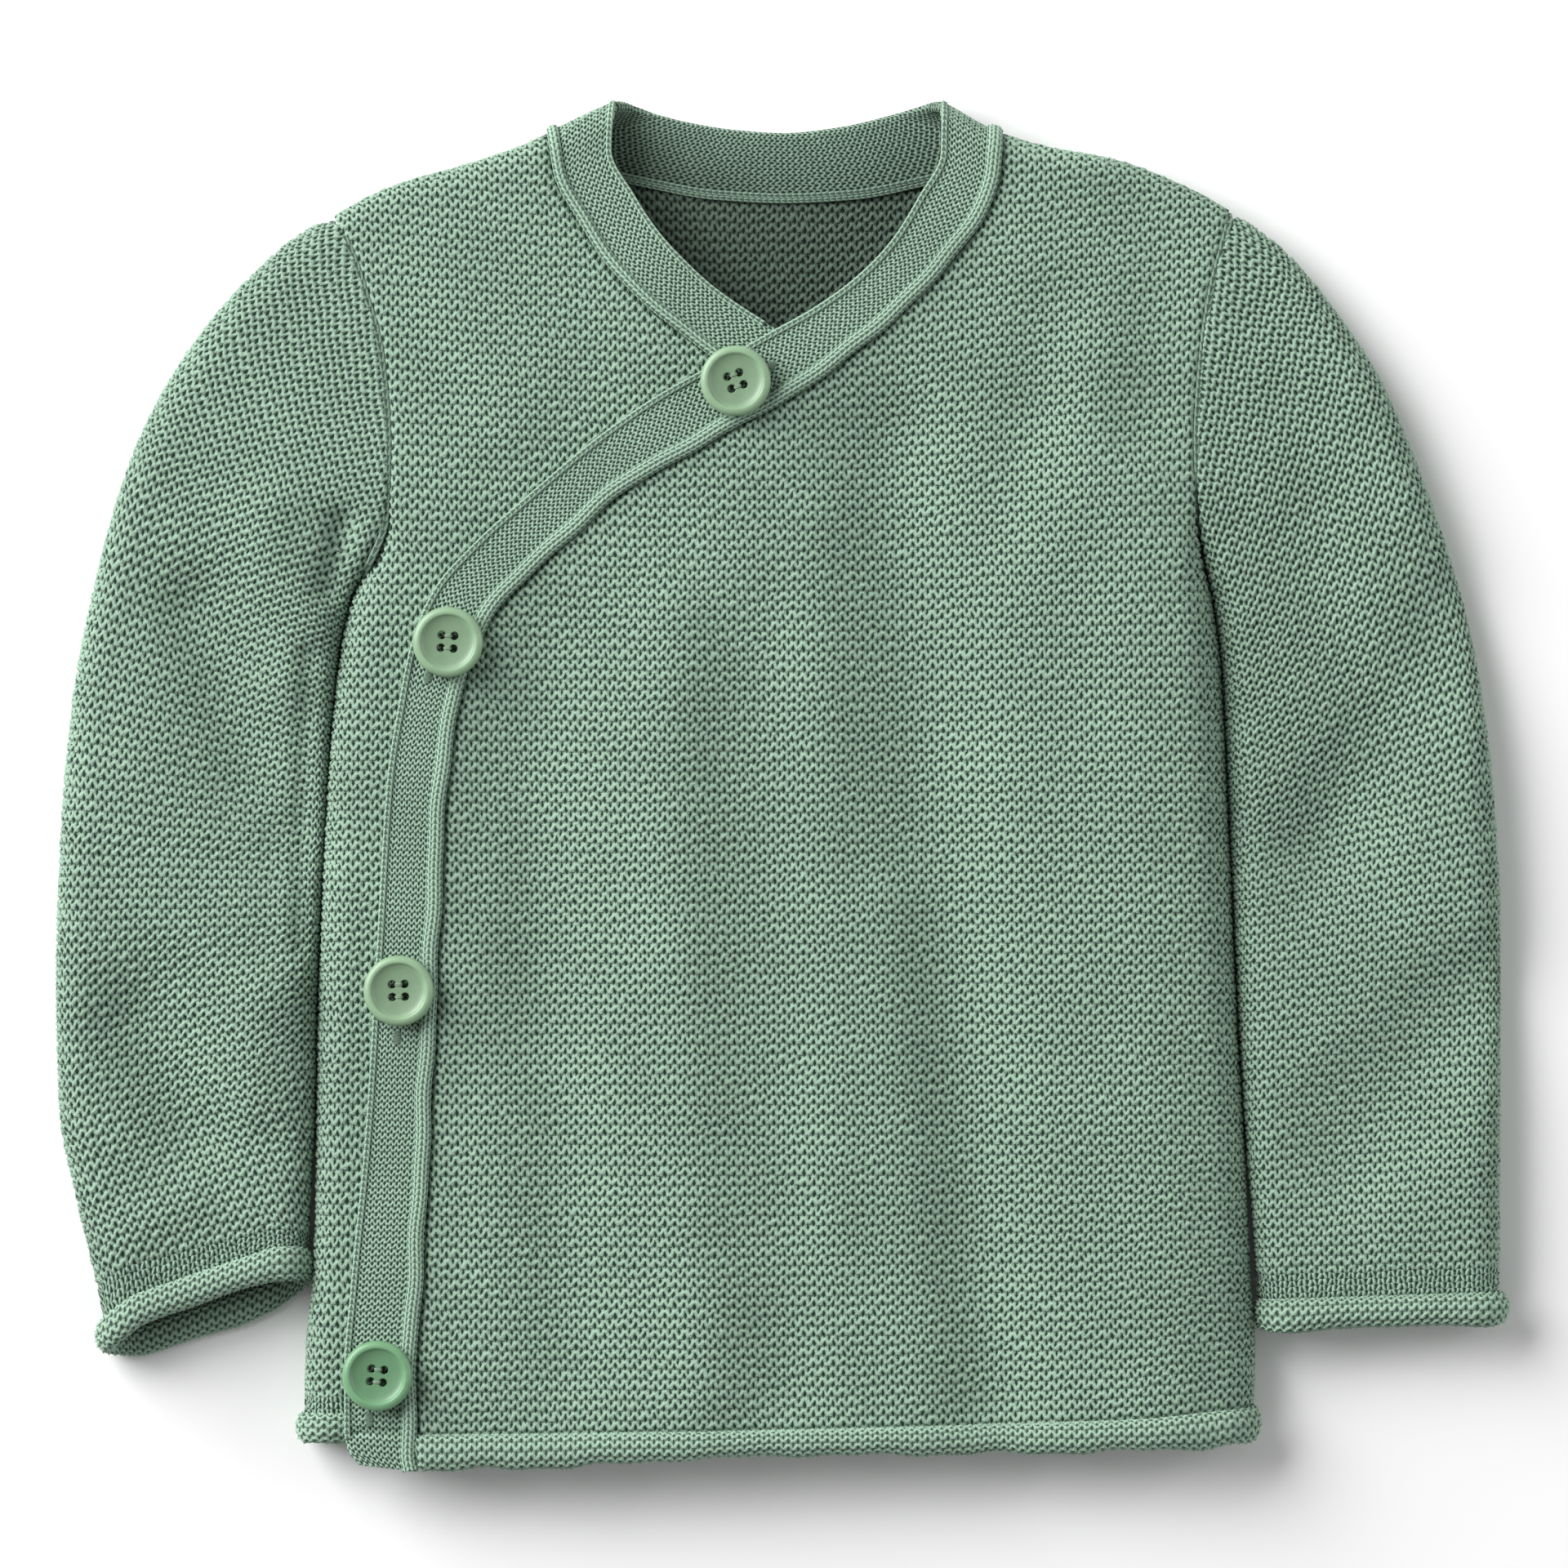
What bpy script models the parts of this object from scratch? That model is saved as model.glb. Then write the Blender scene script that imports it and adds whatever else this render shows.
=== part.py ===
"""Baby wrap cardigan in garter knit, laid out flat on its back.

The garment lies on z = 0 with its front up: the hem towards -Y, the wearer's right side
towards -X.  The origin is under the middle of its outline.  Blender units are metres;
the sizes below are millimetres, and build_mesh() turns them into metres.

Each cloth piece is a wall of even thickness.  Its outer face is worked out by a surface
function from flat cloth coordinates, and its inner face is that face moved in.  The
front and the back meet half way up the rounded rim of the body and of each sleeve.
"""
import math

import bmesh
import bpy
import numpy as np
from mathutils import Vector

MM = 0.001

# Cloth
WALL = 1.9                # garter knit
BAND_WALL = 2.3           # doubled knit band
SEAM = 0.15               # each piece stops this far from the middle of its seam
LAYER_GAP = 0.8           # between the two fronts, lying on each other

# The lying garment
RIM_HEIGHT = 6.6          # the seam half way up the rounded rim, over the surface
SIDE_RIM = 8.0            # plan radius of the body's rounded sides
SLEEVE_RIM = 7.5
SHOULDER_RIM = 6.0
SIDE_CLEARANCE = 0.5      # half of the gap between the body and a sleeve beside it
ARMHOLE_SEAM = 0.3        # half of the gap where the body and a sleeve join
CREST = 13.2              # top of the cloth over the sleeves
BODY_CROWN = 1.8          # the body lies this much higher in its middle
BODY_CROWN_WIDTH = 78.0
YOKE_DROP = 2.4           # and this much lower at the shoulders
YOKE = (95.0, 155.0)      # between these two heights
ARMPIT = (42.0, 76.0)     # the armhole opens between these two heights

# The two lines beside the body, from the hem to the shoulder points
SIDE_LINES = (
    # y,     right side x, left side x (the wearer's)
    (-165.0, -113.2, 109.4),
    (-132.0, -112.6, 111.0),
    (-116.0, -111.0, 109.8),
    (-100.0, -110.4, 109.2),
    (-56.0, -109.8, 106.7),
    (0.0, -107.4, 104.2),
    (30.0, -104.6, 102.6),
    (44.0, -101.4, 100.5),
    (53.0, -96.2, 98.4),
    (62.0, -93.0, 97.1),
    (80.0, -92.4, 96.3),
    (100.0, -93.9, 97.5),
    (116.0, -98.0, 99.8),
    (126.0, -101.6, 102.4),
    (136.0, -107.6, 105.0),
)
SHOULDER_LINE = (
    # x,     y
    (-112.0, 129.6),
    (-106.5, 133.2),
    (-92.0, 140.6),
    (-77.0, 145.0),
    (-61.5, 150.2),
    (-52.0, 154.8),
    (-37.5, 161.0),
    (-26.0, 163.0),
    (23.0, 163.0),
    (34.5, 161.2),
    (49.0, 153.8),
    (61.5, 149.9),
    (77.0, 147.0),
    (92.0, 141.5),
    (104.5, 135.0),
    (112.0, 130.5),
)

# Bands: each row joins the seam with the front (its raised cord) to the free edge
OVER_BAND = (
    # cord x, cord y, edge x, edge y
    (51.5, 157.0, 37.0, 163.8),
    (50.5, 143.0, 36.8, 148.0),
    (46.5, 132.5, 31.5, 137.5),
    (38.0, 121.0, 25.0, 127.0),
    (28.2, 111.4, 16.5, 118.2),
    (18.0, 102.0, 7.0, 111.4),
    (6.0, 93.2, -3.5, 105.6),
    (-8.0, 85.0, -15.5, 98.8),
    (-22.0, 77.4, -29.5, 91.0),
    (-36.0, 69.4, -44.0, 80.8),
    (-50.5, 57.3, -60.5, 67.0),
    (-60.5, 47.6, -73.0, 55.8),
    (-69.5, 37.6, -82.0, 45.4),
    (-73.8, 27.0, -87.2, 33.0),
    (-76.6, 16.4, -90.2, 18.2),
    (-79.0, 0.0, -92.8, 1.0),
    (-81.0, -41.0, -95.4, -40.5),
    (-82.9, -82.5, -98.0, -82.2),
    (-84.6, -117.0, -101.4, -117.0),
    (-86.0, -138.0, -103.0, -138.0),
    (-86.0, -152.0, -102.8, -151.0),
    (-85.6, -160.2, -99.0, -160.2),
)
UNDER_BAND = (
    # cord x, cord y, edge x, edge y
    (-56.0, 156.6, -39.5, 164.2),
    (-54.0, 143.0, -40.5, 149.0),
    (-48.2, 131.6, -35.0, 138.0),
    (-42.0, 122.4, -29.3, 129.4),
    (-34.9, 114.4, -22.5, 122.0),
    (-26.5, 107.2, -15.8, 116.0),
    (-16.0, 99.6, -5.5, 109.0),
    (0.0, 88.4, 9.5, 100.4),
    (16.0, 78.0, 24.5, 90.5),
    (31.0, 69.0, 39.0, 80.5),
    (45.5, 57.0, 54.5, 66.5),
    (55.0, 47.0, 66.0, 55.0),
    (63.0, 36.5, 74.5, 44.0),
    (67.0, 25.0, 79.5, 31.0),
    (69.5, 12.0, 82.0, 14.5),
    (71.0, -20.0, 84.0, -19.0),
    (73.5, -60.0, 86.0, -60.0),
    (76.0, -100.0, 88.5, -100.0),
    (78.0, -146.0, 90.0, -146.0),
)
BACK_BAND = (
    # seam x, seam y, edge x, edge y
    (-56.2, 156.4, -38.5, 164.4),
    (-51.0, 149.5, -35.0, 161.0),
    (-43.0, 144.4, -29.0, 157.6),
    (-31.0, 141.4, -21.0, 155.6),
    (-16.0, 138.8, -12.0, 154.2),
    (0.0, 138.0, 0.0, 153.4),
    (16.0, 138.8, 12.0, 154.6),
    (31.0, 141.6, 21.5, 156.6),
    (41.0, 144.6, 27.5, 158.6),
    (47.5, 149.6, 33.0, 161.4),
    (51.7, 156.8, 36.5, 164.2),
)
# Relief of a band's outer face: a raised cord along its seam, a fine chain at its edge
BAND_PROFILE = (
    # across (0 cord, 1 edge), height
    (0.0, 0.0),
    (0.05, 1.1),
    (0.12, 1.6),
    (0.19, 1.1),
    (0.24, 0.2),
    (0.6, 0.2),
    (0.92, 0.3),
    (0.96, 0.5),
    (1.0, 0.1),
)
FLAT_PROFILE = tuple((across, 0.0) for across in (0.0, 0.25, 0.5, 0.75, 1.0))
UNDER_FADE = (-27.0, -20.0)    # x over which the under band dips below the over one
UNDER_BAND_RISE = 0.4          # how proud of its front it stands before that
BAND_GAP = 0.5                 # between a band's cord and its front
NECK_GAP = 0.8                 # between the back and its neckband, wider beside the neck
NECK_HALF = 50.0
NECK_FOLD = 0.1                # each end's share of the back neckband in the fold
FRONT_TOP = 156.0              # height of a front's corner at the shoulder, laid flat
FOLD_ABOVE = 150.0             # a band's end over this height folds over the shoulder

# The over front lies a layer higher as far as this x, and comes down beside the sleeve
LAYERED_X = 91.0
LAYERED_FADE = 24.0            # over this width
LAYERED_YOKE = 25.0            # and this much sooner above the armpit
LAYERED_ARMPIT = (38.0, 83.0)  # which counts from the first height to the second

# Hems: the line where the cloth starts to roll, and the depth of its roll
OVER_HEM = (
    # x,    y,      roll
    (-86.0, -153.0, 7.2),
    (-60.0, -152.8, 6.8),
    (0.0, -151.8, 4.8),
    (54.0, -150.5, 5.8),
    (85.0, -149.1, 6.2),
    (100.0, -147.6, 7.2),
    (118.0, -146.4, 7.6),
)
UNDER_HEM = (
    # x,     y,      roll
    (-120.0, -148.2, 5.6),
    (-104.0, -148.2, 5.8),
    (-60.0, -142.5, 5.4),
    (90.0, -141.5, 5.2),
)
BACK_HEM = (
    # x,     y,      roll
    (-120.0, -148.2, 5.6),
    (0.0, -147.5, 5.6),
    (120.0, -146.6, 6.4),
)
HEM_CORNERS = {           # height of each panel's two corners at the hem, right and left
    "back": (-148.0, -146.8),
    "front_under": (-148.2, -142.0),
    "front_over": (-153.0, -146.4),
}
SHOULDER_CORNER = 136.2   # height of the armhole's end at the shoulder, laid flat
UNDER_ROLL_END = 77.0     # x where the under front's roll ends, below its band
OVER_ROLL_END = -84.6     # x where the over front's roll ends, beside its band
ROLL_GAP = 0.45           # between a wall's end and its rolled edge
ROLL_HEIGHT = 5.0         # of a rolled edge
ROLL_LIFT = 0.9           # its middle over the middle of the wall it ends
HEM_RAISE = 1.3           # the back rises over its own roll
HEM_RAISE_LENGTH = 16.0
UNDER_ROLL_DROP = 1.2     # the under front's roll is lower where the over front covers it
UNDER_ROLL_PRESSED = 0.65  # and pressed to this share of its height
HEM_COVERED = (-110.0, -98.0)  # from the first x to the second

# Sleeves: each row is a line of knitting from the inner line to the outer edge
SLEEVE_RIGHT = (
    # inner y, outer x, outer y
    (131.2, -108.4, 132.0),
    (125.5, -111.0, 130.8),
    (115.7, -116.5, 127.2),
    (102.6, -122.5, 122.0),
    (88.2, -130.0, 114.4),
    (75.0, -138.0, 104.6),
    (58.5, -147.2, 90.0),
    (44.0, -153.6, 76.0),
    (29.0, -161.5, 49.0),
    (8.0, -167.2, 19.0),
    (-15.0, -169.9, -12.0),
    (-42.0, -171.0, -46.0),
    (-66.0, -170.2, -76.0),
    (-86.0, -165.6, -98.0),
    (-101.0, -161.8, -112.5),
    (-106.5, -160.0, -123.0),
)
SLEEVE_LEFT = (
    # inner y, outer x, outer y
    (131.4, 106.6, 133.4),
    (125.5, 110.2, 131.0),
    (116.0, 116.2, 126.4),
    (103.0, 122.4, 120.2),
    (86.0, 129.0, 111.8),
    (73.0, 135.4, 102.8),
    (60.0, 141.4, 92.4),
    (45.0, 148.2, 76.4),
    (26.0, 156.6, 52.8),
    (8.0, 162.8, 27.8),
    (-14.0, 166.6, -1.0),
    (-40.0, 168.3, -33.5),
    (-70.0, 168.3, -66.0),
    (-98.0, 168.2, -94.5),
    (-114.5, 168.2, -112.6),
    (-121.6, 168.2, -119.8),
)
SLEEVE_SEAM = 0.002       # the sleeve's seam, as a share of its half girth
SLEEVE_RIM_SHARE = 0.17   # of its half girth is in each rim
CUFF_CLEARANCE = 1.0      # a cuff's roll keeps the sleeve this much further from the body
CUFF_CLEARED = (0.85, 0.97)    # between these shares of the sleeve's length
CUFF_PRESSED = 0.52       # the roll is pressed to this share of its height beside the body
CUFF_BESIDE = (0.72, 0.92)     # between these shares of the half girth
CUFF_ROLL = 6.2           # depth of a cuff's rolled edge
CUFF_RAISE = 1.3          # the sleeve's underside rises over its own roll
CUFF_RAISED = (0.94, 0.99)     # between these shares of the sleeve's length
# How far a cuff's underside reaches past its top, as the sleeve lies turned a little open
CUFF_REACH = {"right": 8.0, "left": 0.0}
CUFF_REACHED = (0.8, 1.0)      # between these shares of the sleeve's length
CUFF_TURN = 1.6                # how soon round the rims it gets there

# The largest folds, each along a line: troughs have a positive depth, ridges a negative one
FOLDS = (
    # from x, from y, to x, to y, half width, depth
    (16.0, 82.0, 36.0, -140.0, 14.0, 1.7),       # down the front from the wrap
    (-17.0, 15.0, -14.0, -105.0, 10.0, 1.0),
    (-64.0, 18.0, -61.0, -60.0, 8.0, 0.9),       # beside the button band
    (-44.0, 20.0, -42.0, -140.0, 13.0, -1.0),
    (60.0, 70.0, 62.0, -140.0, 16.0, -0.9),
    (86.0, 60.0, 93.0, -80.0, 9.0, 0.6),
    (-78.0, 128.0, -60.0, 92.0, 10.0, -0.7),     # chest under the right shoulder
    (-139.0, 40.0, -126.0, 2.0, 8.0, 1.8),       # right sleeve
    (-154.0, -58.0, -141.0, -80.0, 8.0, 1.9),
    (-126.0, -52.0, -128.0, -72.0, 9.0, -1.2),
    (-124.0, 78.0, -130.0, 40.0, 10.0, -0.9),
    (134.0, 14.0, 125.0, -10.0, 8.0, 0.9),       # left sleeve
    (157.0, -42.0, 128.0, -74.0, 9.0, 1.2),
    (140.0, 60.0, 148.0, -10.0, 12.0, -0.7),
)

# Buttons
BUTTON_RADIUS = 8.25
BUTTON_CENTRES = (
    # x,     y
    (-11.3, 94.2),
    (-78.6, 33.2),
    (-90.0, -48.3),
    (-95.0, -138.3),
)
BUTTON_PROFILE = (
    # radius, height
    (7.5, 0.0),
    (8.25, 0.8),
    (8.15, 1.9),
    (7.4, 2.6),
    (6.3, 2.4),
    (5.5, 1.6),
)
BUTTON_STAND = 2.0        # over the band's flat face, clear of its cord
BUTTON_STEPS = 20
BUTTON_HOLE_RADIUS = 0.85
BUTTON_HOLE_OFFSET = 1.45  # of each of the four holes from the middle, in x and in y
BUTTON_HOLE_STEPS = 6
BUTTON_CREASE = math.radians(35.0)

# Mesh steps
PANEL_TOP = (0.72, 0.94)       # a panel's rows take its top's form between these shares
PANEL_HEM = 0.12               # and its hem's form below this share
WAY_SAMPLES = 401
NORMAL_STEP = 0.05
BUTTON_TILT_STEP = 2.0
FRONT_ROWS = ((0.56, 8), (0.92, 15), (1.0, 2))   # closer where the wrap crosses the front
BACK_ROWS = ((0.62, 5), (0.8, 6), (1.0, 4))      # closer at the armpits
BACK_COLUMNS = ((0.22, 3), (0.78, 16), (1.0, 3)) # closer below the neck
UNDER_COLUMNS = ((1.0, 9),)
OVER_COLUMNS = ((1.0, 13),)
NECK_WAY = ((1.0, 14),)
SLEEVE_ROWS = ((0.25, 5), (0.45, 6), (1.0, 8))   # closer at the armpit
SLEEVE_COLUMNS = ((1.0, 4),)
RIM_STEPS = 4
ROLL_STEPS = 10

# Linear colours
SAGE = (0.175, 0.258, 0.192, 1.0)
SAGE_BAND = (0.182, 0.27, 0.202, 1.0)
SAGE_ROLL = (0.19, 0.282, 0.21, 1.0)
BUTTON_GREEN = (0.27, 0.4, 0.255, 1.0)


# ---------------------------------------------------------------- curves and surfaces
def column(table, index):
    return np.array([row[index] for row in table], float)


def smooth_curve(knots, values, at):
    """Smooth curve through the knots that doesn't swing past them."""
    step = np.diff(knots)
    slope = np.diff(values) / step
    tangent = np.empty_like(values)
    tangent[1:-1] = np.where(slope[:-1] * slope[1:] > 0,
                             2 * slope[:-1] * slope[1:] / (slope[:-1] + slope[1:] + 1e-12), 0.0)
    tangent[0], tangent[-1] = slope[0], slope[-1]
    cell = np.clip(np.searchsorted(knots, at) - 1, 0, len(step) - 1)
    part = (at - knots[cell]) / step[cell]
    a, b = values[cell], values[cell + 1]
    ta, tb = tangent[cell] * step[cell], tangent[cell + 1] * step[cell]
    return (a + part * ta + part ** 2 * (3 * (b - a) - 2 * ta - tb)
            + part ** 3 * (2 * (a - b) + ta + tb))


def path_curve(table, at):
    """Columns of a table as smooth functions of the way along it, at = 0 to 1."""
    rows = np.array(table, float)
    length = np.linalg.norm(np.diff(rows, axis=0), axis=1)
    knots = np.concatenate([[0.0], np.cumsum(length)]) / length.sum()
    return [smooth_curve(knots, rows[:, k], np.asarray(at, float)) for k in range(rows.shape[1])]


def smooth_step(value):
    value = np.clip(value, 0.0, 1.0)
    return value * value * (3 - 2 * value)


def rising(value, stretch):
    """0 before a stretch and 1 after it, with a smooth rise between."""
    return smooth_step((value - stretch[0]) / (stretch[1] - stretch[0]))


def side_lines(y):
    knots = column(SIDE_LINES, 0)
    return [smooth_curve(knots, column(SIDE_LINES, k), y) for k in (1, 2)]


def shoulder_line(x):
    return smooth_curve(column(SHOULDER_LINE, 0), column(SHOULDER_LINE, 1), x)


def armhole_open(y):
    """0 along the closed side seam, 1 where the body and the sleeve join."""
    return rising(y, ARMPIT)


def folds(x, y):
    total = np.zeros(np.broadcast(x, y).shape)
    for x0, y0, x1, y1, half_width, depth in FOLDS:
        run, rise = x1 - x0, y1 - y0
        along = np.clip(((x - x0) * run + (y - y0) * rise) / (run ** 2 + rise ** 2), 0.0, 1.0)
        away = np.hypot(x - x0 - along * run, y - y0 - along * rise)
        total = total - depth * np.exp(-(away / half_width) ** 2)
    return total


def crest(x, y):
    """Height of the cloth's upper face away from its rims."""
    crown = BODY_CROWN * np.exp(-(x / BODY_CROWN_WIDTH) ** 2)
    return CREST + crown - YOKE_DROP * rising(y, YOKE) + folds(x, y)


def flat_spare(radius):
    """Flat cloth needs this much more width than its plan, to go round a rim's quarter."""
    return radius * (math.pi / 2 - 1)


def over_rim(distance, radius):
    """Plan shift inwards and rise (0 at the seam, 1 on top) at a flat distance from a rim."""
    radius = np.maximum(radius, 1e-6)
    angle = np.minimum(distance / radius, math.pi / 2)
    shift = np.where(distance < radius * math.pi / 2,
                     radius * (1 - np.cos(angle)) - (distance - flat_spare(radius)), 0.0)
    return shift, np.sin(angle)


def body_surface(x, y, face, lift=0.0):
    """Outer face of the body at flat cloth points: face 1 is the front, -1 the back."""
    right, left = side_lines(y)
    opened = armhole_open(y)
    radius = SIDE_RIM * (1 - opened)
    outset = flat_spare(radius) - SIDE_CLEARANCE * (1 - opened)
    shift_right, rise_right = over_rim(x - (right - outset), radius)
    shift_left, rise_left = over_rim((left + outset) - x, radius)
    shift_top, rise_top = over_rim(shoulder_line(x) + flat_spare(SHOULDER_RIM) - y, SHOULDER_RIM)
    rise = rise_top
    for rise_side in (rise_right, rise_left):
        rise = rise * (opened + (1 - opened) * rise_side)
    plan_x = x + shift_right - shift_left
    plan_y = y - shift_top
    if face > 0:
        level = RIM_HEIGHT + (crest(plan_x, plan_y) + lift - RIM_HEIGHT) * rise
    else:
        level = RIM_HEIGHT - (RIM_HEIGHT - lift) * rise
    return np.stack([plan_x, plan_y, level], -1)


def sleeve_surface(table, reach, way, around):
    """Outer face of a sleeve: way is 0 to 1 along it; around is -1 at the inner seam from
    below, 0 on the outer rim and 1 at the inner seam from above."""
    inner_y, outer_x, outer_y = path_curve(table, way)
    side = 1 if table[0][1] > 0 else -1
    opened = armhole_open(inner_y)
    gap = ARMHOLE_SEAM * opened + SIDE_CLEARANCE * (1 - opened)
    gap = gap + CUFF_CLEARANCE * rising(way, CUFF_CLEARED)
    inner_x = side_lines(inner_y)[1 if side > 0 else 0] + side * gap
    run, rise = inner_x - outer_x, inner_y - outer_y
    width = np.hypot(run, rise)
    inner_radius = SLEEVE_RIM * (1 - opened)
    narrow = SLEEVE_RIM * np.arccos(1 - np.minimum(width / SLEEVE_RIM, 1.0))
    flat = np.where(width < SLEEVE_RIM, narrow, width + flat_spare(SLEEVE_RIM))
    flat = flat + flat_spare(inner_radius)
    distance = np.abs(around) * flat
    shift_out, rise_out = over_rim(distance, SLEEVE_RIM)
    shift_in, rise_in = over_rim(flat - distance, inner_radius)
    plan = distance - flat_spare(SLEEVE_RIM) + shift_out - shift_in
    up = rise_out * (opened + (1 - opened) * rise_in)
    x = outer_x + run / width * plan
    y = outer_y + rise / width * plan
    above = RIM_HEIGHT + (crest(x, y) - RIM_HEIGHT) * up
    below = RIM_HEIGHT - (RIM_HEIGHT - CUFF_RAISE * rising(way, CUFF_RAISED)) * up
    turned = 0.5 - 0.5 * np.clip(CUFF_TURN * np.sin(math.pi * around), -1.0, 1.0)
    y = y - reach * turned * rising(way, CUFF_REACHED)
    return np.stack([x, y, np.where(around >= 0, above, below)], -1)


def normals(surface, u, v, steps=(NORMAL_STEP, NORMAL_STEP)):
    """Unit normals of surface(u, v), from small steps in u and v."""
    along_u = surface(u + steps[0], v) - surface(u - steps[0], v)
    along_v = surface(u, v + steps[1]) - surface(u, v - steps[1])
    across = np.cross(along_u, along_v)
    return across / np.linalg.norm(across, axis=-1, keepdims=True)


def graded(*stretches):
    """Shares from 0 to 1, in stretches given by their end and their number of steps."""
    shares = [0.0]
    for end, steps in stretches:
        shares += list(np.linspace(shares[-1], end, steps + 1)[1:])
    return np.array(shares)


def rim_spread(start, stop, rim_start, rim_stop, shares):
    """Positions at shares of the way from start to stop, and closer steps in end rims."""
    quarter = np.linspace(0.0, 1.0, RIM_STEPS + 1)[:-1]
    head = [start + rim_start * part for part in quarter] if rim_start else []
    tail = [stop - rim_stop * part for part in quarter[::-1]] if rim_stop else []
    span = stop - rim_stop - start - rim_start
    middle = [start + rim_start + span * part for part in shares]
    return np.stack(head + middle + tail, -1)


def part_at_rim(points, face):
    """Keep a front's points above the rim's seam, and a back's points below it."""
    parted = points.copy()
    if face > 0:
        parted[..., 2] = np.maximum(parted[..., 2], RIM_HEIGHT + SEAM)
    else:
        parted[..., 2] = np.minimum(parted[..., 2], RIM_HEIGHT - SEAM)
    return parted


# ---------------------------------------------------------------- meshes
def material(name, colour, roughness):
    look = bpy.data.materials.new(name)
    look.use_nodes = True
    shader = look.node_tree.nodes["Principled BSDF"]
    shader.inputs["Base Color"].default_value = colour
    shader.inputs["Roughness"].default_value = roughness
    shader.inputs["Metallic"].default_value = 0.0
    look.diffuse_color = colour
    return look


def build_mesh(name, points, faces, look):
    """One closed body from millimetre points, with its faces turned out."""
    shape = bmesh.new()
    corners = [shape.verts.new(point) for point in np.asarray(points) * MM]
    for face in faces:
        shape.faces.new([corners[index] for index in face])
    bmesh.ops.recalc_face_normals(shape, faces=shape.faces)
    if shape.calc_volume(signed=True) < 0:
        bmesh.ops.reverse_faces(shape, faces=shape.faces)
    mesh = bpy.data.meshes.new(name)
    shape.to_mesh(mesh)
    shape.free()
    mesh.materials.append(look)
    mesh.shade_smooth()
    part = bpy.data.objects.new(name, mesh)
    bpy.context.collection.objects.link(part)
    return part


def build_wall(name, outer, inner, look):
    """A sheet of cloth between two grids of points."""
    rows, columns = outer.shape[:2]
    count = rows * columns
    cell = np.arange(count).reshape(rows, columns)
    faces = []
    for i in range(rows - 1):
        for j in range(columns - 1):
            corners = (cell[i, j], cell[i, j + 1], cell[i + 1, j + 1], cell[i + 1, j])
            faces.append(corners)
            faces.append(tuple(corner + count for corner in reversed(corners)))
    edge = list(cell[0, :]) + list(cell[1:, -1]) + list(cell[-1, -2::-1]) + list(cell[-2:0:-1, 0])
    for a, b in zip(edge, edge[1:] + edge[:1]):
        faces.append((a, a + count, b + count, b))
    points = np.concatenate([outer.reshape(-1, 3), inner.reshape(-1, 3)])
    return build_mesh(name, points, faces, look)


def build_roll(name, edge, outward, away, depth, height, look, lowest=0.0, highest=math.inf):
    """A rolled edge: a flattened bead of cloth along the end of a wall."""
    centre = edge + away * (ROLL_GAP + depth / 2)[:, None] + outward * (ROLL_LIFT - WALL / 2)
    rings = []
    for step in range(ROLL_STEPS):
        angle = 2 * math.pi * step / ROLL_STEPS
        rings.append(centre + away * (depth / 2 * math.cos(angle))[:, None]
                     + outward * (height / 2 * math.sin(angle))[:, None])
    points = np.stack(rings, 1)
    points[..., 2] = np.clip(points[..., 2], lowest, highest)
    count = len(points)
    cell = np.arange(count * ROLL_STEPS).reshape(count, ROLL_STEPS)
    faces = []
    for i in range(count - 1):
        for k in range(ROLL_STEPS):
            m = (k + 1) % ROLL_STEPS
            faces.append((cell[i, k], cell[i, m], cell[i + 1, m], cell[i + 1, k]))
    faces += [tuple(cell[0, ::-1]), tuple(cell[-1])]
    return build_mesh(name, points.reshape(-1, 3), faces, look)


# ---------------------------------------------------------------- fronts and back
def no_lift(x, y):
    return np.zeros(np.broadcast(x, y).shape)


def over_lift(x, y):
    """The over front lies on the under one, and comes down to it beside the left sleeve."""
    layered_to = LAYERED_X - LAYERED_YOKE * rising(y, LAYERED_ARMPIT)
    return (WALL + LAYER_GAP) * (1 - smooth_step((x - layered_to) / LAYERED_FADE))


def back_lift(x, y):
    """The back lies on the surface, and rises over its rolled hem."""
    from_hem = y - table_line(BACK_HEM, x)
    return HEM_RAISE * (1 - smooth_step(from_hem / HEM_RAISE_LENGTH))


def table_line(table, at, index=1):
    """A table's column as a smooth line over its first column."""
    return smooth_curve(column(table, 0), column(table, index), at)


def seam_outset(y):
    """How far outside its plan line a panel's flat edge is, at its side seam or armhole."""
    opened = armhole_open(y)
    outset = flat_spare(SIDE_RIM * (1 - opened)) - SIDE_CLEARANCE * (1 - opened)
    return outset - SEAM - (ARMHOLE_SEAM - SEAM) * opened


def right_side(y):
    return side_lines(y)[0] - seam_outset(y)


def left_side(y):
    return side_lines(y)[1] + seam_outset(y)


def shoulder_top(x):
    """Flat y of the shoulder seam."""
    return shoulder_line(x) + flat_spare(SHOULDER_RIM) - SEAM


def folded_rows(table):
    """A band's rows, with its ends over the shoulders set on the fold there."""
    rows = np.array(table)
    for row in (rows[0], rows[-1]):
        for at in (0, 2):
            if row[at + 1] > FOLD_ABOVE:
                row[at + 1] = shoulder_top(row[at])
    return rows


def way_at(table, heights):
    """How far along a front's band its cord passes the given heights."""
    way = np.linspace(0.0, 1.0, WAY_SAMPLES)
    cord_y = path_curve(folded_rows(table), way)[1]
    return np.interp(heights, cord_y[::-1], way[::-1])


def front_heights(low):
    """Heights along a front's cord, closer together in the wrap and over the shoulder."""
    return rim_spread(low, FRONT_TOP, 0.0, SHOULDER_RIM * math.pi / 2, graded(*FRONT_ROWS))


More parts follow.
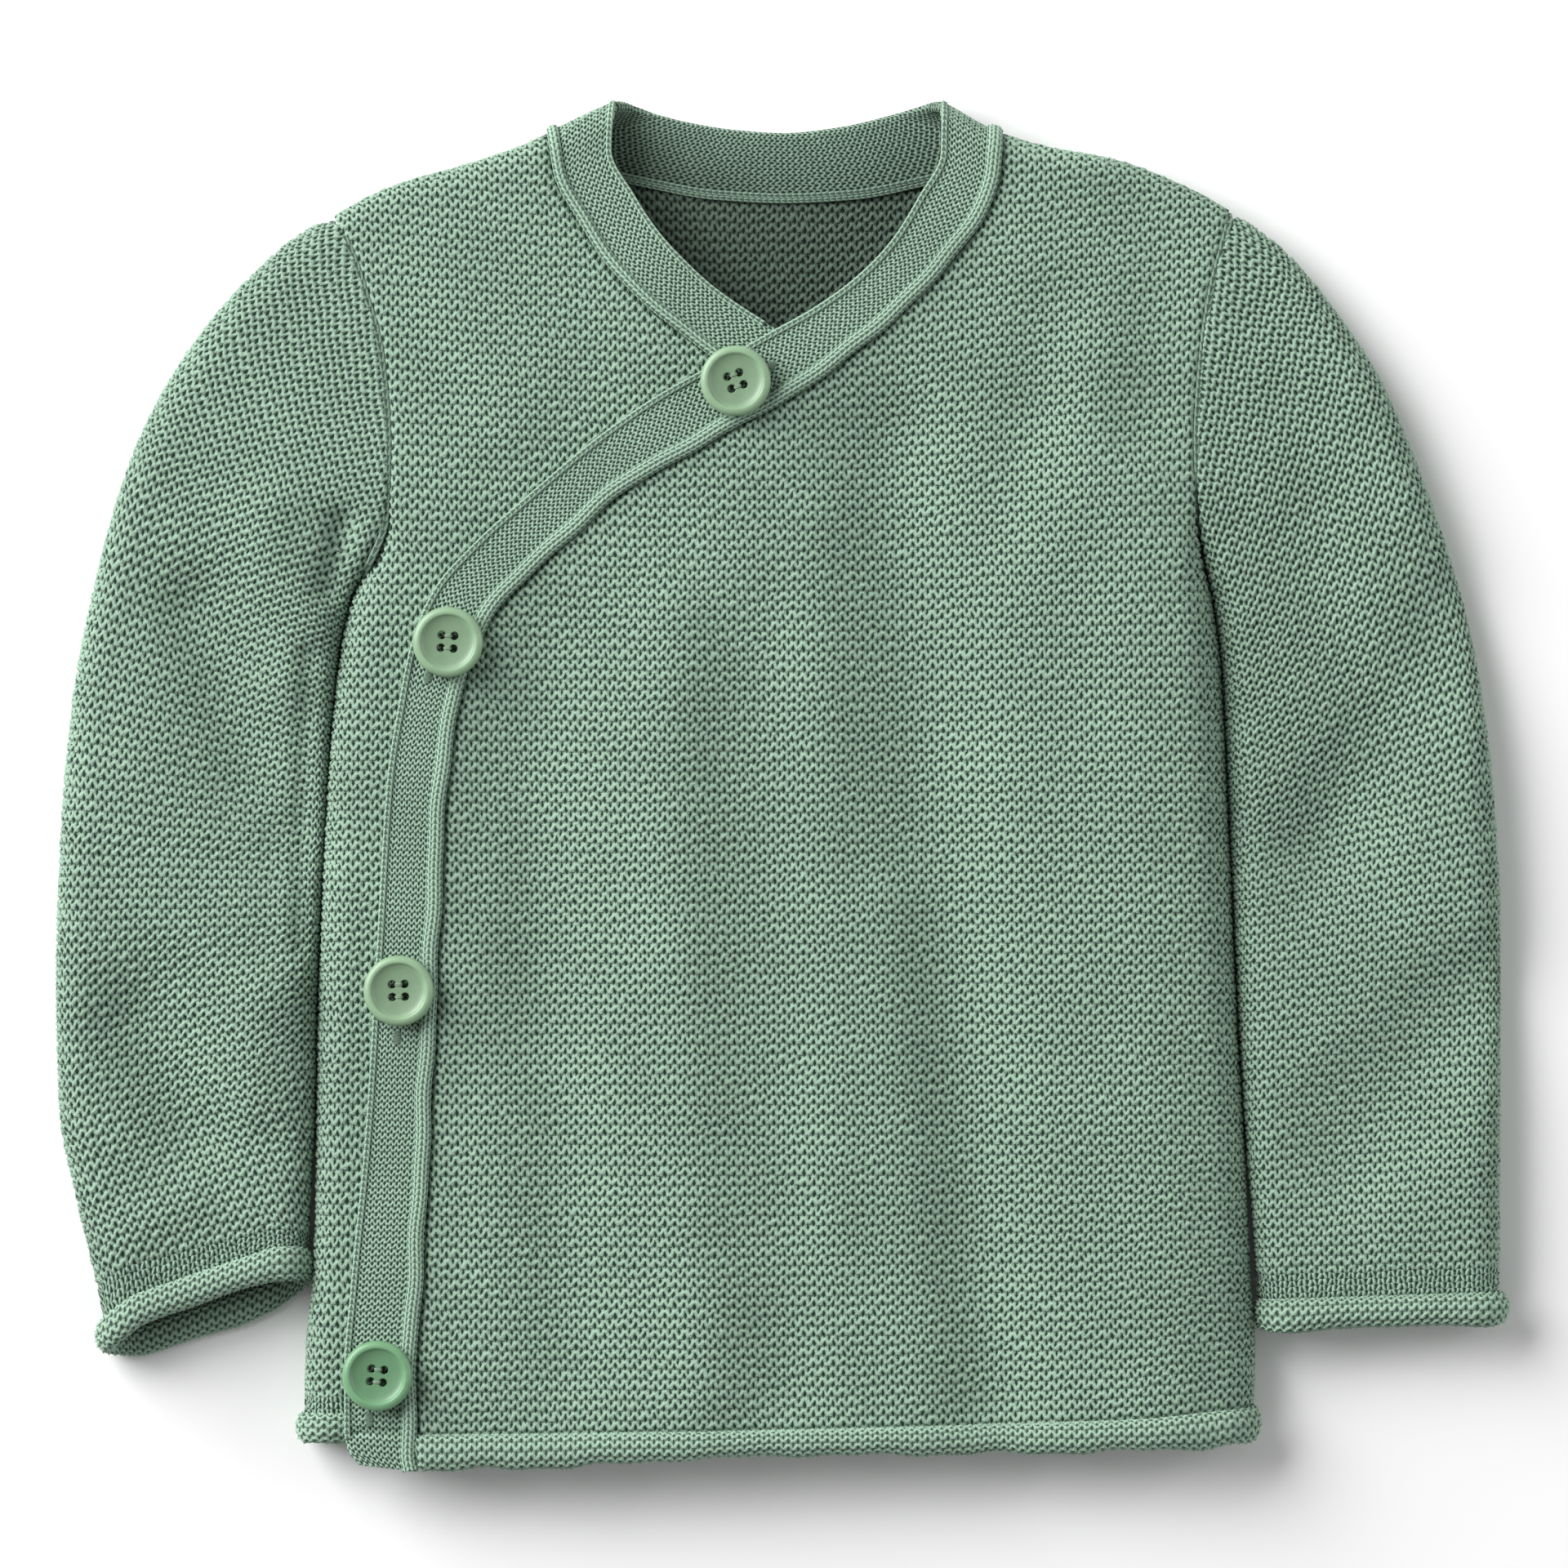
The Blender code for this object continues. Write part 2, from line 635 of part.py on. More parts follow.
def cord_side(table, low):
    """The points of a front's edge, beside the cord of its band."""
    way = way_at(table, front_heights(low))
    seam_x, seam_y, edge_x, edge_y = path_curve(folded_rows(table), way)
    width = np.hypot(edge_x - seam_x, edge_y - seam_y)
    return (seam_x - (edge_x - seam_x) / width * BAND_GAP,
            seam_y - (edge_y - seam_y) / width * BAND_GAP)


def outer_side(side, low, shares):
    """The points of a panel's outer edge: its side seam and its armhole."""
    y = rim_spread(low, SHOULDER_CORNER, 0.0, SHOULDER_RIM * math.pi / 2, shares)
    top = shoulder_line(side(y)) + flat_spare(SHOULDER_RIM)
    return side(y - over_rim(top - y, SHOULDER_RIM)[0]), y


def back_top(x):
    """Flat y of the back's upper edge: the shoulders, and the neck seam between them."""
    neck = np.clip(x, BACK_BAND[0][0], BACK_BAND[-1][0])
    gap = NECK_GAP * (1 + (neck / NECK_HALF) ** 2)
    return np.minimum(shoulder_top(x), table_line(BACK_BAND, neck) - gap)


def panel_grid(right, left, hem, top, rims, columns):
    """Flat points of a body panel by rows from the hem up, closer together on its rims.

    right and left are the points of its two edges, hem is a table and top a function of x.
    """
    x = rim_spread(right[0], left[0], rims[0], rims[1], columns)
    share = (x - right[0][:, None]) / (left[0] - right[0])[:, None]
    level = (right[1] - right[1][0]) / (right[1][-1] - right[1][0])
    near_top = rising(level, PANEL_TOP)[:, None]
    near_hem = smooth_step(1 - level / PANEL_HEM)[:, None]
    y = right[1][:, None] + (left[1] - right[1])[:, None] * share
    y = y + near_top * (top(x[-1]) - y[-1]) + near_hem * (table_line(hem, x[0]) - y[0])
    return x, y


def body_panel(name, grid, face, lift, look):
    def surface(x, y):
        return body_surface(x, y, face, lift(x, y))

    x, y = grid
    outer = surface(x, y)
    inner = outer - WALL * face * normals(surface, x, y)
    return build_wall(name, part_at_rim(outer, face), part_at_rim(inner, face), look)


def covered(x):
    """0 where the under front's hem shows, 1 where the over front covers it."""
    return rising(x, HEM_COVERED)


def under_roll_lift(x, y):
    return -UNDER_ROLL_DROP * covered(x)


def hem_roll(name, hem, x_range, steps, face, lift, look, pressed=1.0):
    """The rolled edge along a panel's hem, between two x."""
    def surface(x, y):
        return body_surface(x, y, face)

    x = np.linspace(x_range[0], x_range[1], steps + 1)
    y = table_line(hem, x)
    outward = face * normals(surface, x, y)
    along = np.gradient(surface(x, y), axis=0)
    away = face * np.cross(along, outward)
    away = away / np.linalg.norm(away, axis=-1, keepdims=True)
    away = np.where(away[:, 1:2] > 0, -away, away)
    lowest, highest = (RIM_HEIGHT + SEAM, math.inf) if face > 0 else (0.0, RIM_HEIGHT - SEAM)
    edge = body_surface(x, y, face, lift(x, y))
    height = ROLL_HEIGHT * (1 - (1 - pressed) * covered(x))
    return build_roll(name, edge, outward, away, table_line(hem, x, 2), height, look,
                      lowest, highest)


def build_body(cloth, rolled):
    rim = SIDE_RIM * math.pi / 2
    back_low, under_low, over_low = (HEM_CORNERS[name]
                                     for name in ("back", "front_under", "front_over"))
    rows = graded(*BACK_ROWS)
    panel = panel_grid(outer_side(right_side, back_low[0], rows),
                       outer_side(left_side, back_low[1], rows),
                       BACK_HEM, back_top, (rim, rim), graded(*BACK_COLUMNS))
    body_panel("back", panel, -1, back_lift, cloth)
    rows = graded(*FRONT_ROWS)
    panel = panel_grid(outer_side(right_side, under_low[0], rows),
                       cord_side(UNDER_BAND, under_low[1]),
                       UNDER_HEM, shoulder_top, (rim, 0.0), graded(*UNDER_COLUMNS))
    body_panel("front_under", panel, 1, no_lift, cloth)
    panel = panel_grid(cord_side(OVER_BAND, over_low[0]),
                       outer_side(left_side, over_low[1], rows),
                       OVER_HEM, shoulder_top, (0.0, rim), graded(*OVER_COLUMNS))
    body_panel("front_over", panel, 1, over_lift, cloth)
    right_end, left_end = right_side(back_low[0]), left_side(back_low[1])
    hem_roll("hem_roll_back", BACK_HEM, (right_end, left_end), 26, -1, back_lift, rolled)
    hem_roll("hem_roll_under", UNDER_HEM, (right_end, UNDER_ROLL_END), 22, 1,
             under_roll_lift, rolled, UNDER_ROLL_PRESSED)
    hem_roll("hem_roll_over", OVER_HEM, (OVER_ROLL_END, left_end), 24, 1, over_lift, rolled)


# ---------------------------------------------------------------- bands
def band_surface(table, face, lift, way, across):
    """Face of a band at way 0 to 1 along it and across 0 (seam) to 1 (free edge)."""
    seam_x, seam_y, edge_x, edge_y = path_curve(folded_rows(table), way)
    x = seam_x + (edge_x - seam_x) * across
    y = seam_y + (edge_y - seam_y) * across
    y = np.minimum(y, shoulder_top(x))
    return body_surface(x, y, face, lift(x, y))


def build_band(name, table, face, lift, profile, fade, way, look):
    """A band: its outer face carries the profile, which fade lowers to nothing."""
    def surface(way, across):
        return band_surface(table, face, lift, way, across)

    way, across = np.meshgrid(way, column(profile, 0), indexing="ij")
    relief = np.interp(across, column(profile, 0), column(profile, 1))
    base = surface(way, across)
    up = normals(surface, np.clip(way, 0.002, 0.998), across, (0.001, 0.002))
    up = np.where(up[..., 2:3] * face < 0, -up, up)
    outer = base + up * (relief * fade(base[..., 0]))[..., None]
    inner = base - up * BAND_WALL
    return build_wall(name, part_at_rim(outer, face), part_at_rim(inner, face), look)


def band_over_lift(x, y):
    return np.full(np.broadcast(x, y).shape, BAND_WALL + LAYER_GAP)


def band_under_lift(x, y):
    """The under band stands a little proud until the over front covers it."""
    return UNDER_BAND_RISE * (1 - rising(x, UNDER_FADE))


def build_bands(look):
    def whole(x):
        return np.ones_like(x)

    def until_covered(x):
        return 1 - rising(x, UNDER_FADE)

    def front_way(table, low):
        return way_at(table, np.concatenate([[table[-1][1]], front_heights(low)]))

    way = front_way(OVER_BAND, HEM_CORNERS["front_over"][0])
    build_band("band_over", OVER_BAND, 1, band_over_lift, BAND_PROFILE, whole, way, look)
    way = front_way(UNDER_BAND, HEM_CORNERS["front_under"][1])
    build_band("band_under", UNDER_BAND, 1, band_under_lift, BAND_PROFILE, until_covered, way,
               look)
    way = rim_spread(0.0, 1.0, NECK_FOLD, NECK_FOLD, graded(*NECK_WAY))
    build_band("band_back_neck", BACK_BAND, -1, no_lift, FLAT_PROFILE, whole, way, look)


# ---------------------------------------------------------------- sleeves
def build_sleeve(side, table, cloth, rolled):
    reach = CUFF_REACH[side]

    def surface(way, around):
        return sleeve_surface(table, reach, way, around)

    way = graded(*SLEEVE_ROWS)
    half = rim_spread(0.0, 1.0, SLEEVE_RIM_SHARE, SLEEVE_RIM_SHARE, graded(*SLEEVE_COLUMNS))
    around = np.concatenate([-half[::-1], half[1:]])
    around[0], around[-1] = -1 + SLEEVE_SEAM, 1 - SLEEVE_SEAM
    way, around = np.meshgrid(way, around, indexing="ij")
    steps = (0.0005, 0.002)
    outer = surface(way, around)
    outward = normals(surface, way, around, steps)
    middle = outer.mean(axis=1, keepdims=True)
    turn = np.sign((outward * (outer - middle)).sum())
    outward = outward * turn
    inner = outer - WALL * outward
    half = around.shape[1] // 2
    for points in (outer, inner):
        points[:, :half] = part_at_rim(points[:, :half], -1)
        points[:, half + 1:] = part_at_rim(points[:, half + 1:], 1)
    build_wall("sleeve_" + side, outer, inner, cloth)
    around = around[-1]
    end = np.ones_like(around)
    before = surface(end - 0.01, around)
    away = surface(end, around) - before
    away = away / np.linalg.norm(away, axis=-1, keepdims=True)
    outward = turn * normals(surface, end, around, steps)
    depth = np.full(len(around), CUFF_ROLL)
    height = ROLL_HEIGHT * (1 - (1 - CUFF_PRESSED) * rising(np.abs(around), CUFF_BESIDE))
    build_roll("cuff_roll_" + side, surface(end, around), outward, away, depth, height, rolled)


# ---------------------------------------------------------------- buttons
def circle(radius, steps, centre=(0.0, 0.0)):
    angles = [2 * math.pi * step / steps for step in range(steps)]
    return [(centre[0] + radius * math.cos(a), centre[1] + radius * math.sin(a)) for a in angles]


def button_mesh(look):
    """A turned disc with a raised rim, a dished middle and four holes through it."""
    shape = bmesh.new()

    def ring(points, height):
        return [shape.verts.new((x * MM, y * MM, height * MM)) for x, y in points]

    def bridge(lower, upper):
        for k in range(len(lower)):
            m = (k + 1) % len(lower)
            shape.faces.new((lower[k], lower[m], upper[m], upper[k]))

    rings = [ring(circle(radius, BUTTON_STEPS), height) for radius, height in BUTTON_PROFILE]
    for lower, upper in zip(rings, rings[1:]):
        bridge(lower, upper)
    bottom, top = [rings[0]], [rings[-1]]
    for side_x in (-1, 1):
        for side_y in (-1, 1):
            centre = (side_x * BUTTON_HOLE_OFFSET, side_y * BUTTON_HOLE_OFFSET)
            hole = circle(BUTTON_HOLE_RADIUS, BUTTON_HOLE_STEPS, centre)
            bottom.append(ring(hole, BUTTON_PROFILE[0][1]))
            top.append(ring(hole, BUTTON_PROFILE[-1][1]))
            bridge(bottom[-1], top[-1])
    for loops in (bottom, top):
        edges = []
        for loop in loops:
            for k, corner in enumerate(loop):
                edges.append(shape.edges.get((corner, loop[(k + 1) % len(loop)])))
        bmesh.ops.triangle_fill(shape, use_beauty=True, edges=edges)
    bmesh.ops.recalc_face_normals(shape, faces=shape.faces)
    mesh = bpy.data.meshes.new("button")
    shape.to_mesh(mesh)
    shape.free()
    mesh.materials.append(look)
    mesh.shade_smooth()
    mesh.set_sharp_from_angle(angle=BUTTON_CREASE)
    return mesh


def build_buttons(look):
    """Four buttons on the over band, each flat on the cloth under it."""
    def surface(x, y):
        return body_surface(x, y, 1, band_over_lift(x, y))

    mesh = button_mesh(look)
    for number, (x, y) in enumerate(BUTTON_CENTRES, 1):
        at = (np.array([x]), np.array([y]))
        up = Vector(normals(surface, *at, (BUTTON_TILT_STEP, BUTTON_TILT_STEP))[0])
        place = Vector(surface(*at)[0]) + up * BUTTON_STAND
        button = bpy.data.objects.new("button_%d" % number, mesh)
        bpy.context.collection.objects.link(button)
        button.location = place * MM
        button.rotation_mode = "QUATERNION"
        button.rotation_quaternion = Vector((0.0, 0.0, 1.0)).rotation_difference(up)


def main():
    for item in list(bpy.data.objects):
        bpy.data.objects.remove(item, do_unlink=True)
    cloth = material("sage_garter_knit", SAGE, 0.92)
    rolled = material("sage_rolled_edge", SAGE_ROLL, 0.92)
    banded = material("sage_fine_band", SAGE_BAND, 0.9)
    pearl = material("green_button", BUTTON_GREEN, 0.38)
    build_body(cloth, rolled)
    build_bands(banded)
    build_sleeve("right", SLEEVE_RIGHT, cloth, rolled)
    build_sleeve("left", SLEEVE_LEFT, cloth, rolled)
    build_buttons(pearl)


main()
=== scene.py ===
"""Baby wrap cardigan in garter knit, laid out flat: its knitting, bands, rolled edges and
buttons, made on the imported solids.

Sizes in the tables are millimetres, in the solids' own frame: the hem towards -Y, the
wearer's right side towards -X, up from the surface along +Z.
"""
import math

import bmesh
import bpy
import numpy as np
from mathutils import Matrix, Vector


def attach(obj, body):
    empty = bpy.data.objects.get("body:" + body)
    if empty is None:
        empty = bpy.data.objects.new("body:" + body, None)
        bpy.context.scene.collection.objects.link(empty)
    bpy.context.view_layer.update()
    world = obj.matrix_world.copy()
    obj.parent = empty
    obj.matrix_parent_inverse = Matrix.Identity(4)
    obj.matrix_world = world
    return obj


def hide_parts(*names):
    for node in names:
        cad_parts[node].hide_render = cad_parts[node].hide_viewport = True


bl_info = {
    "name": "Baby wrap cardigan",
    "version": (1, 0, 0),
    "blender": (4, 5, 0),
    "location": "3D View > Sidebar > Cardigan",
    "description": "Knits the cardigan's cloth over its solids and sews on its buttons",
    "category": "Object",
}

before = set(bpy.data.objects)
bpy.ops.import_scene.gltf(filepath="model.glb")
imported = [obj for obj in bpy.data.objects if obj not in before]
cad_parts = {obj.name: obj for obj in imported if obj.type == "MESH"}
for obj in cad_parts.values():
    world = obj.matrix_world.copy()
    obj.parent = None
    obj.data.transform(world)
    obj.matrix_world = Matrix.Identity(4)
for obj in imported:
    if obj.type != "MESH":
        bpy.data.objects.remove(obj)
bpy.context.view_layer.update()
MM = 0.001
UPRIGHT = Vector((0.0, 0.0, 1.0))

# ---------------------------------------------------------------- the garment's sizes
WALL = 1.9                # garter knit
BAND_WALL = 2.3           # doubled knit band
LAYER_GAP = 0.8           # between the two fronts
RIM_HEIGHT = 6.6          # the side seams' height, half way up the rounded rims
SIDE_RIM, SLEEVE_RIM, SHOULDER_RIM = 8.0, 7.5, 6.0    # radii of the turned edges
SIDE_CLEARANCE = 0.2      # half of the crease between the body and a sleeve beside it
CREST = 13.2              # height of the fronts over the surface
BODY_CROWN, BODY_CROWN_WIDTH = 1.8, 78.0      # higher in the middle
YOKE_DROP = 2.4           # and lower at the shoulders
YOKE = (95.0, 155.0)      # between these heights
ARMPIT = (42.0, 76.0)     # heights between which the body opens into the sleeves
UNDER_FADE = (-27.0, -20.0)   # x over which the under band dips below the over one
UNDER_BAND_RISE = 0.4     # how proud of its front it stands before that
UNDER_CORD_END = -14.0    # x at which its cord is well under the over front
EDGE_CHAIN_END = 0.985    # share of the over band's length that its edge chain has
FOLD_ABOVE = 150.0        # a band's end over this height folds over the shoulder
NECK_GAP = 0.3            # between the back and its neckband
NECK_HALF = 58.0          # half of the width where the neckband's seam can end the back
SHOULDER_CORNER = 136.2   # height of the armhole's end at the shoulder, laid flat
# The over front lies a layer higher as far as this x, and comes down beside the sleeve
LAYERED_X = 91.0
LAYERED_FADE = 24.0       # over this width
LAYERED_YOKE = 25.0       # and this much sooner above the armpit
LAYERED_ARMPIT = (38.0, 83.0)     # which counts from the first height to the second

SIDE_LINES = (
    # y,     right side x, left side x
    (-165.0, -113.2, 109.4), (-132.0, -112.6, 111.0), (-116.0, -111.0, 109.8),
    (-100.0, -110.4, 109.2), (-56.0, -109.8, 106.7), (0.0, -107.4, 104.2),
    (30.0, -104.6, 102.6), (44.0, -101.4, 100.5), (53.0, -96.2, 98.4),
    (62.0, -93.0, 97.1), (80.0, -92.4, 96.3), (100.0, -93.9, 97.5),
    (116.0, -98.0, 99.8), (126.0, -101.6, 102.4), (136.0, -107.6, 105.0),
)
SHOULDER_LINE = (
    # x,     y
    (-112.0, 129.6), (-106.5, 133.2), (-92.0, 140.6), (-77.0, 145.0), (-61.5, 150.2),
    (-52.0, 154.8), (-37.5, 161.0), (-26.0, 163.0), (23.0, 163.0), (34.5, 161.2),
    (49.0, 153.8), (61.5, 149.9), (77.0, 147.0), (92.0, 141.5), (104.5, 135.0),
    (112.0, 130.5),
)
# Bands, laid flat: a point on the cord or the seam and one on the free edge, row by row
OVER_BAND = (
    # cord x, cord y, edge x, edge y
    (51.5, 157.0, 37.0, 163.8), (50.5, 143.0, 36.8, 148.0), (46.5, 132.5, 31.5, 137.5),
    (38.0, 121.0, 25.0, 127.0), (28.2, 111.4, 16.5, 118.2), (18.0, 102.0, 7.0, 111.4),
    (6.0, 93.2, -3.5, 105.6), (-8.0, 85.0, -15.5, 98.8), (-22.0, 77.4, -29.5, 91.0),
    (-36.0, 69.4, -44.0, 80.8), (-50.5, 57.3, -60.5, 67.0), (-60.5, 47.6, -73.0, 55.8),
    (-69.5, 37.6, -82.0, 45.4), (-73.8, 27.0, -87.2, 33.0), (-76.6, 16.4, -90.2, 18.2),
    (-79.0, 0.0, -92.8, 1.0), (-81.0, -41.0, -95.4, -40.5), (-82.9, -82.5, -98.0, -82.2),
    (-84.6, -117.0, -101.4, -117.0), (-86.0, -138.0, -103.0, -138.0),
    (-86.0, -152.0, -103.0, -151.0), (-86.0, -157.0, -102.2, -155.8),
    (-85.6, -160.9, -99.6, -159.4),
)
UNDER_BAND = (
    (-56.0, 156.6, -39.5, 164.2), (-54.0, 143.0, -40.5, 149.0), (-48.2, 131.6, -35.0, 138.0),
    (-42.0, 122.4, -29.3, 129.4), (-34.9, 114.4, -22.5, 122.0), (-26.5, 107.2, -15.8, 116.0),
    (-16.0, 99.6, -5.5, 109.0), (0.0, 88.4, 9.5, 100.4), (16.0, 78.0, 24.5, 90.5),
    (31.0, 69.0, 39.0, 80.5), (45.5, 57.0, 54.5, 66.5), (55.0, 47.0, 66.0, 55.0),
    (63.0, 36.5, 74.5, 44.0), (67.0, 25.0, 79.5, 31.0), (69.5, 12.0, 82.0, 14.5),
    (71.0, -20.0, 84.0, -19.0), (73.5, -60.0, 86.0, -60.0), (76.0, -100.0, 88.5, -100.0),
    (78.0, -146.0, 90.0, -146.0),
)
BACK_BAND = (
    # seam x, seam y, edge x, edge y
    (-56.2, 156.4, -38.5, 164.4), (-51.0, 149.5, -35.0, 161.0), (-43.0, 144.4, -29.0, 157.6),
    (-31.0, 141.4, -21.0, 155.6), (-16.0, 138.8, -12.0, 154.2), (0.0, 138.0, 0.0, 153.4),
    (16.0, 138.8, 12.0, 154.6), (31.0, 141.6, 21.5, 156.6), (41.0, 144.6, 27.5, 158.6),
    (47.5, 149.6, 33.0, 161.4), (51.7, 156.8, 36.5, 164.2),
)
# Hems: the line where the cloth starts to roll, and the depth of its roll
OVER_HEM = (
    # x,    y,      depth
    (-86.0, -153.0, 7.2), (-60.0, -152.8, 6.8), (0.0, -151.8, 4.8), (54.0, -150.5, 5.8),
    (85.0, -149.1, 6.2), (100.0, -147.6, 7.2), (118.0, -146.4, 7.6),
)
UNDER_HEM = (
    (-120.0, -148.2, 5.6), (-104.0, -148.2, 5.8), (-60.0, -142.5, 5.4), (90.0, -141.5, 5.2),
)
BACK_HEM = (
    (-120.0, -148.2, 5.6), (0.0, -147.5, 5.6), (120.0, -146.6, 6.4),
)
ROLL_HEIGHT = 5.0
ROLL_LIFT = 0.9           # its middle over the middle of the wall it ends
ROLL_GAP = 0.45           # between the solids' walls and their rolls
ROLL_TUCK = 0.6           # the knitted roll starts this much over the end of its wall
ROLL_ROWS = 10            # purl rows round a roll
ROLL_ENDING = 2.6         # length over which a hem's roll rounds off
ROLL_RELIEF = 0.9         # its loops' height to that of the flat knit's
HEM_RAISE, HEM_RAISE_LENGTH = 1.3, 16.0       # the back rises over its own roll
UNDER_ROLL_DROP = 1.2     # the under front's roll is lower where the over front covers it
UNDER_ROLL_PRESSED = 0.65     # and pressed to this share of its height
HEM_COVERED = (-110.0, -98.0)     # from the first x to the second
UNDER_ROLL_END, OVER_ROLL_END = 77.0, -86.8
HEM_CORNERS = (-148.0, -146.4)    # y of the hem at the right side and at the left one

# Sleeves: each row is a line of knitting from the inner line to the outer edge
SLEEVE_RIGHT = (
    # inner y, outer x, outer y
    (131.2, -108.4, 132.0), (125.5, -111.0, 130.8), (115.7, -116.5, 127.2),
    (102.6, -122.5, 122.0), (88.2, -130.0, 114.4), (75.0, -138.0, 104.6),
    (58.5, -147.2, 90.0), (44.0, -153.6, 76.0), (29.0, -161.5, 49.0), (8.0, -167.2, 19.0),
    (-15.0, -169.9, -12.0), (-42.0, -171.0, -46.0), (-66.0, -170.2, -76.0),
    (-86.0, -165.6, -98.0), (-101.0, -161.8, -112.5), (-106.5, -160.0, -123.0),
)
SLEEVE_LEFT = (
    (131.4, 106.6, 133.4), (125.5, 110.2, 131.0), (116.0, 116.2, 126.4), (103.0, 122.4, 120.2),
    (86.0, 129.0, 111.8), (73.0, 135.4, 102.8), (60.0, 141.4, 92.4), (45.0, 148.2, 76.4),
    (26.0, 156.6, 52.8), (8.0, 162.8, 27.8), (-14.0, 166.6, -1.0), (-40.0, 168.3, -33.5),
    (-70.0, 168.3, -66.0), (-98.0, 168.2, -94.5), (-114.5, 168.2, -112.6),
    (-121.6, 168.2, -119.8),
)
CUFF_CLEARANCE = 1.0      # a cuff's roll keeps the sleeve this much further from the body
CUFF_CLEARED = (0.85, 0.97)   # between these shares of the sleeve's length
CUFF_PLAIN = 7.2          # plain rows over the cuff's roll
CUFF_ROLL = 6.2           # depth of the roll
CUFF_PRESSED = 0.52       # it is pressed to this share of its height beside the body
CUFF_BESIDE = (0.72, 0.92)    # between these shares of the half girth
CUFF_RAISE = 1.3          # the sleeve's underside rises over its own roll
CUFF_RAISED = (0.94, 0.99)    # between these shares of the sleeve's length
# How far a cuff's underside reaches past its top, as the sleeve lies turned a little open
CUFF_REACH = {"right": 8.0, "left": 0.0}
CUFF_REACHED = (0.8, 1.0)     # between these shares of the sleeve's length
CUFF_TURN = 1.6           # how soon round the rims it gets there
UNDERSIDE_FADE = 0.5      # how soon a sleeve's loops lie flat under it
SLEEVE_STEPS = (5e-4, 2e-3)   # steps for a sleeve's normals, along and around it
SLEEVE_WAY, SLEEVE_SEAM = 0.999, 0.998    # how near to its ends and seam they are taken
BAND_STEPS = (0.001, 0.002)   # the same for a band, along and across it
BAND_INSET = (0.002, 0.01)    # how far inside its ends and edges they are taken

# The largest folds, each along a line: troughs have a positive depth, ridges a negative one
FOLDS = (
    # from x, from y, to x, to y, half width, depth
    (16.0, 82.0, 36.0, -140.0, 14.0, 1.7), (-17.0, 15.0, -14.0, -105.0, 10.0, 1.0),
    (-64.0, 18.0, -61.0, -60.0, 8.0, 0.9), (-44.0, 20.0, -42.0, -140.0, 13.0, -1.0),
    (60.0, 70.0, 62.0, -140.0, 16.0, -0.9), (86.0, 60.0, 93.0, -80.0, 9.0, 0.6),
    (-78.0, 128.0, -60.0, 92.0, 10.0, -0.7), (-139.0, 40.0, -126.0, 2.0, 8.0, 1.8),
    (-154.0, -58.0, -141.0, -80.0, 8.0, 1.9), (-126.0, -52.0, -128.0, -72.0, 9.0, -1.2),
    (-124.0, 78.0, -130.0, 40.0, 10.0, -0.9), (134.0, 14.0, 125.0, -10.0, 8.0, 0.9),
    (157.0, -42.0, 128.0, -74.0, 9.0, 1.2), (140.0, 60.0, 148.0, -10.0, 12.0, -0.7),
)
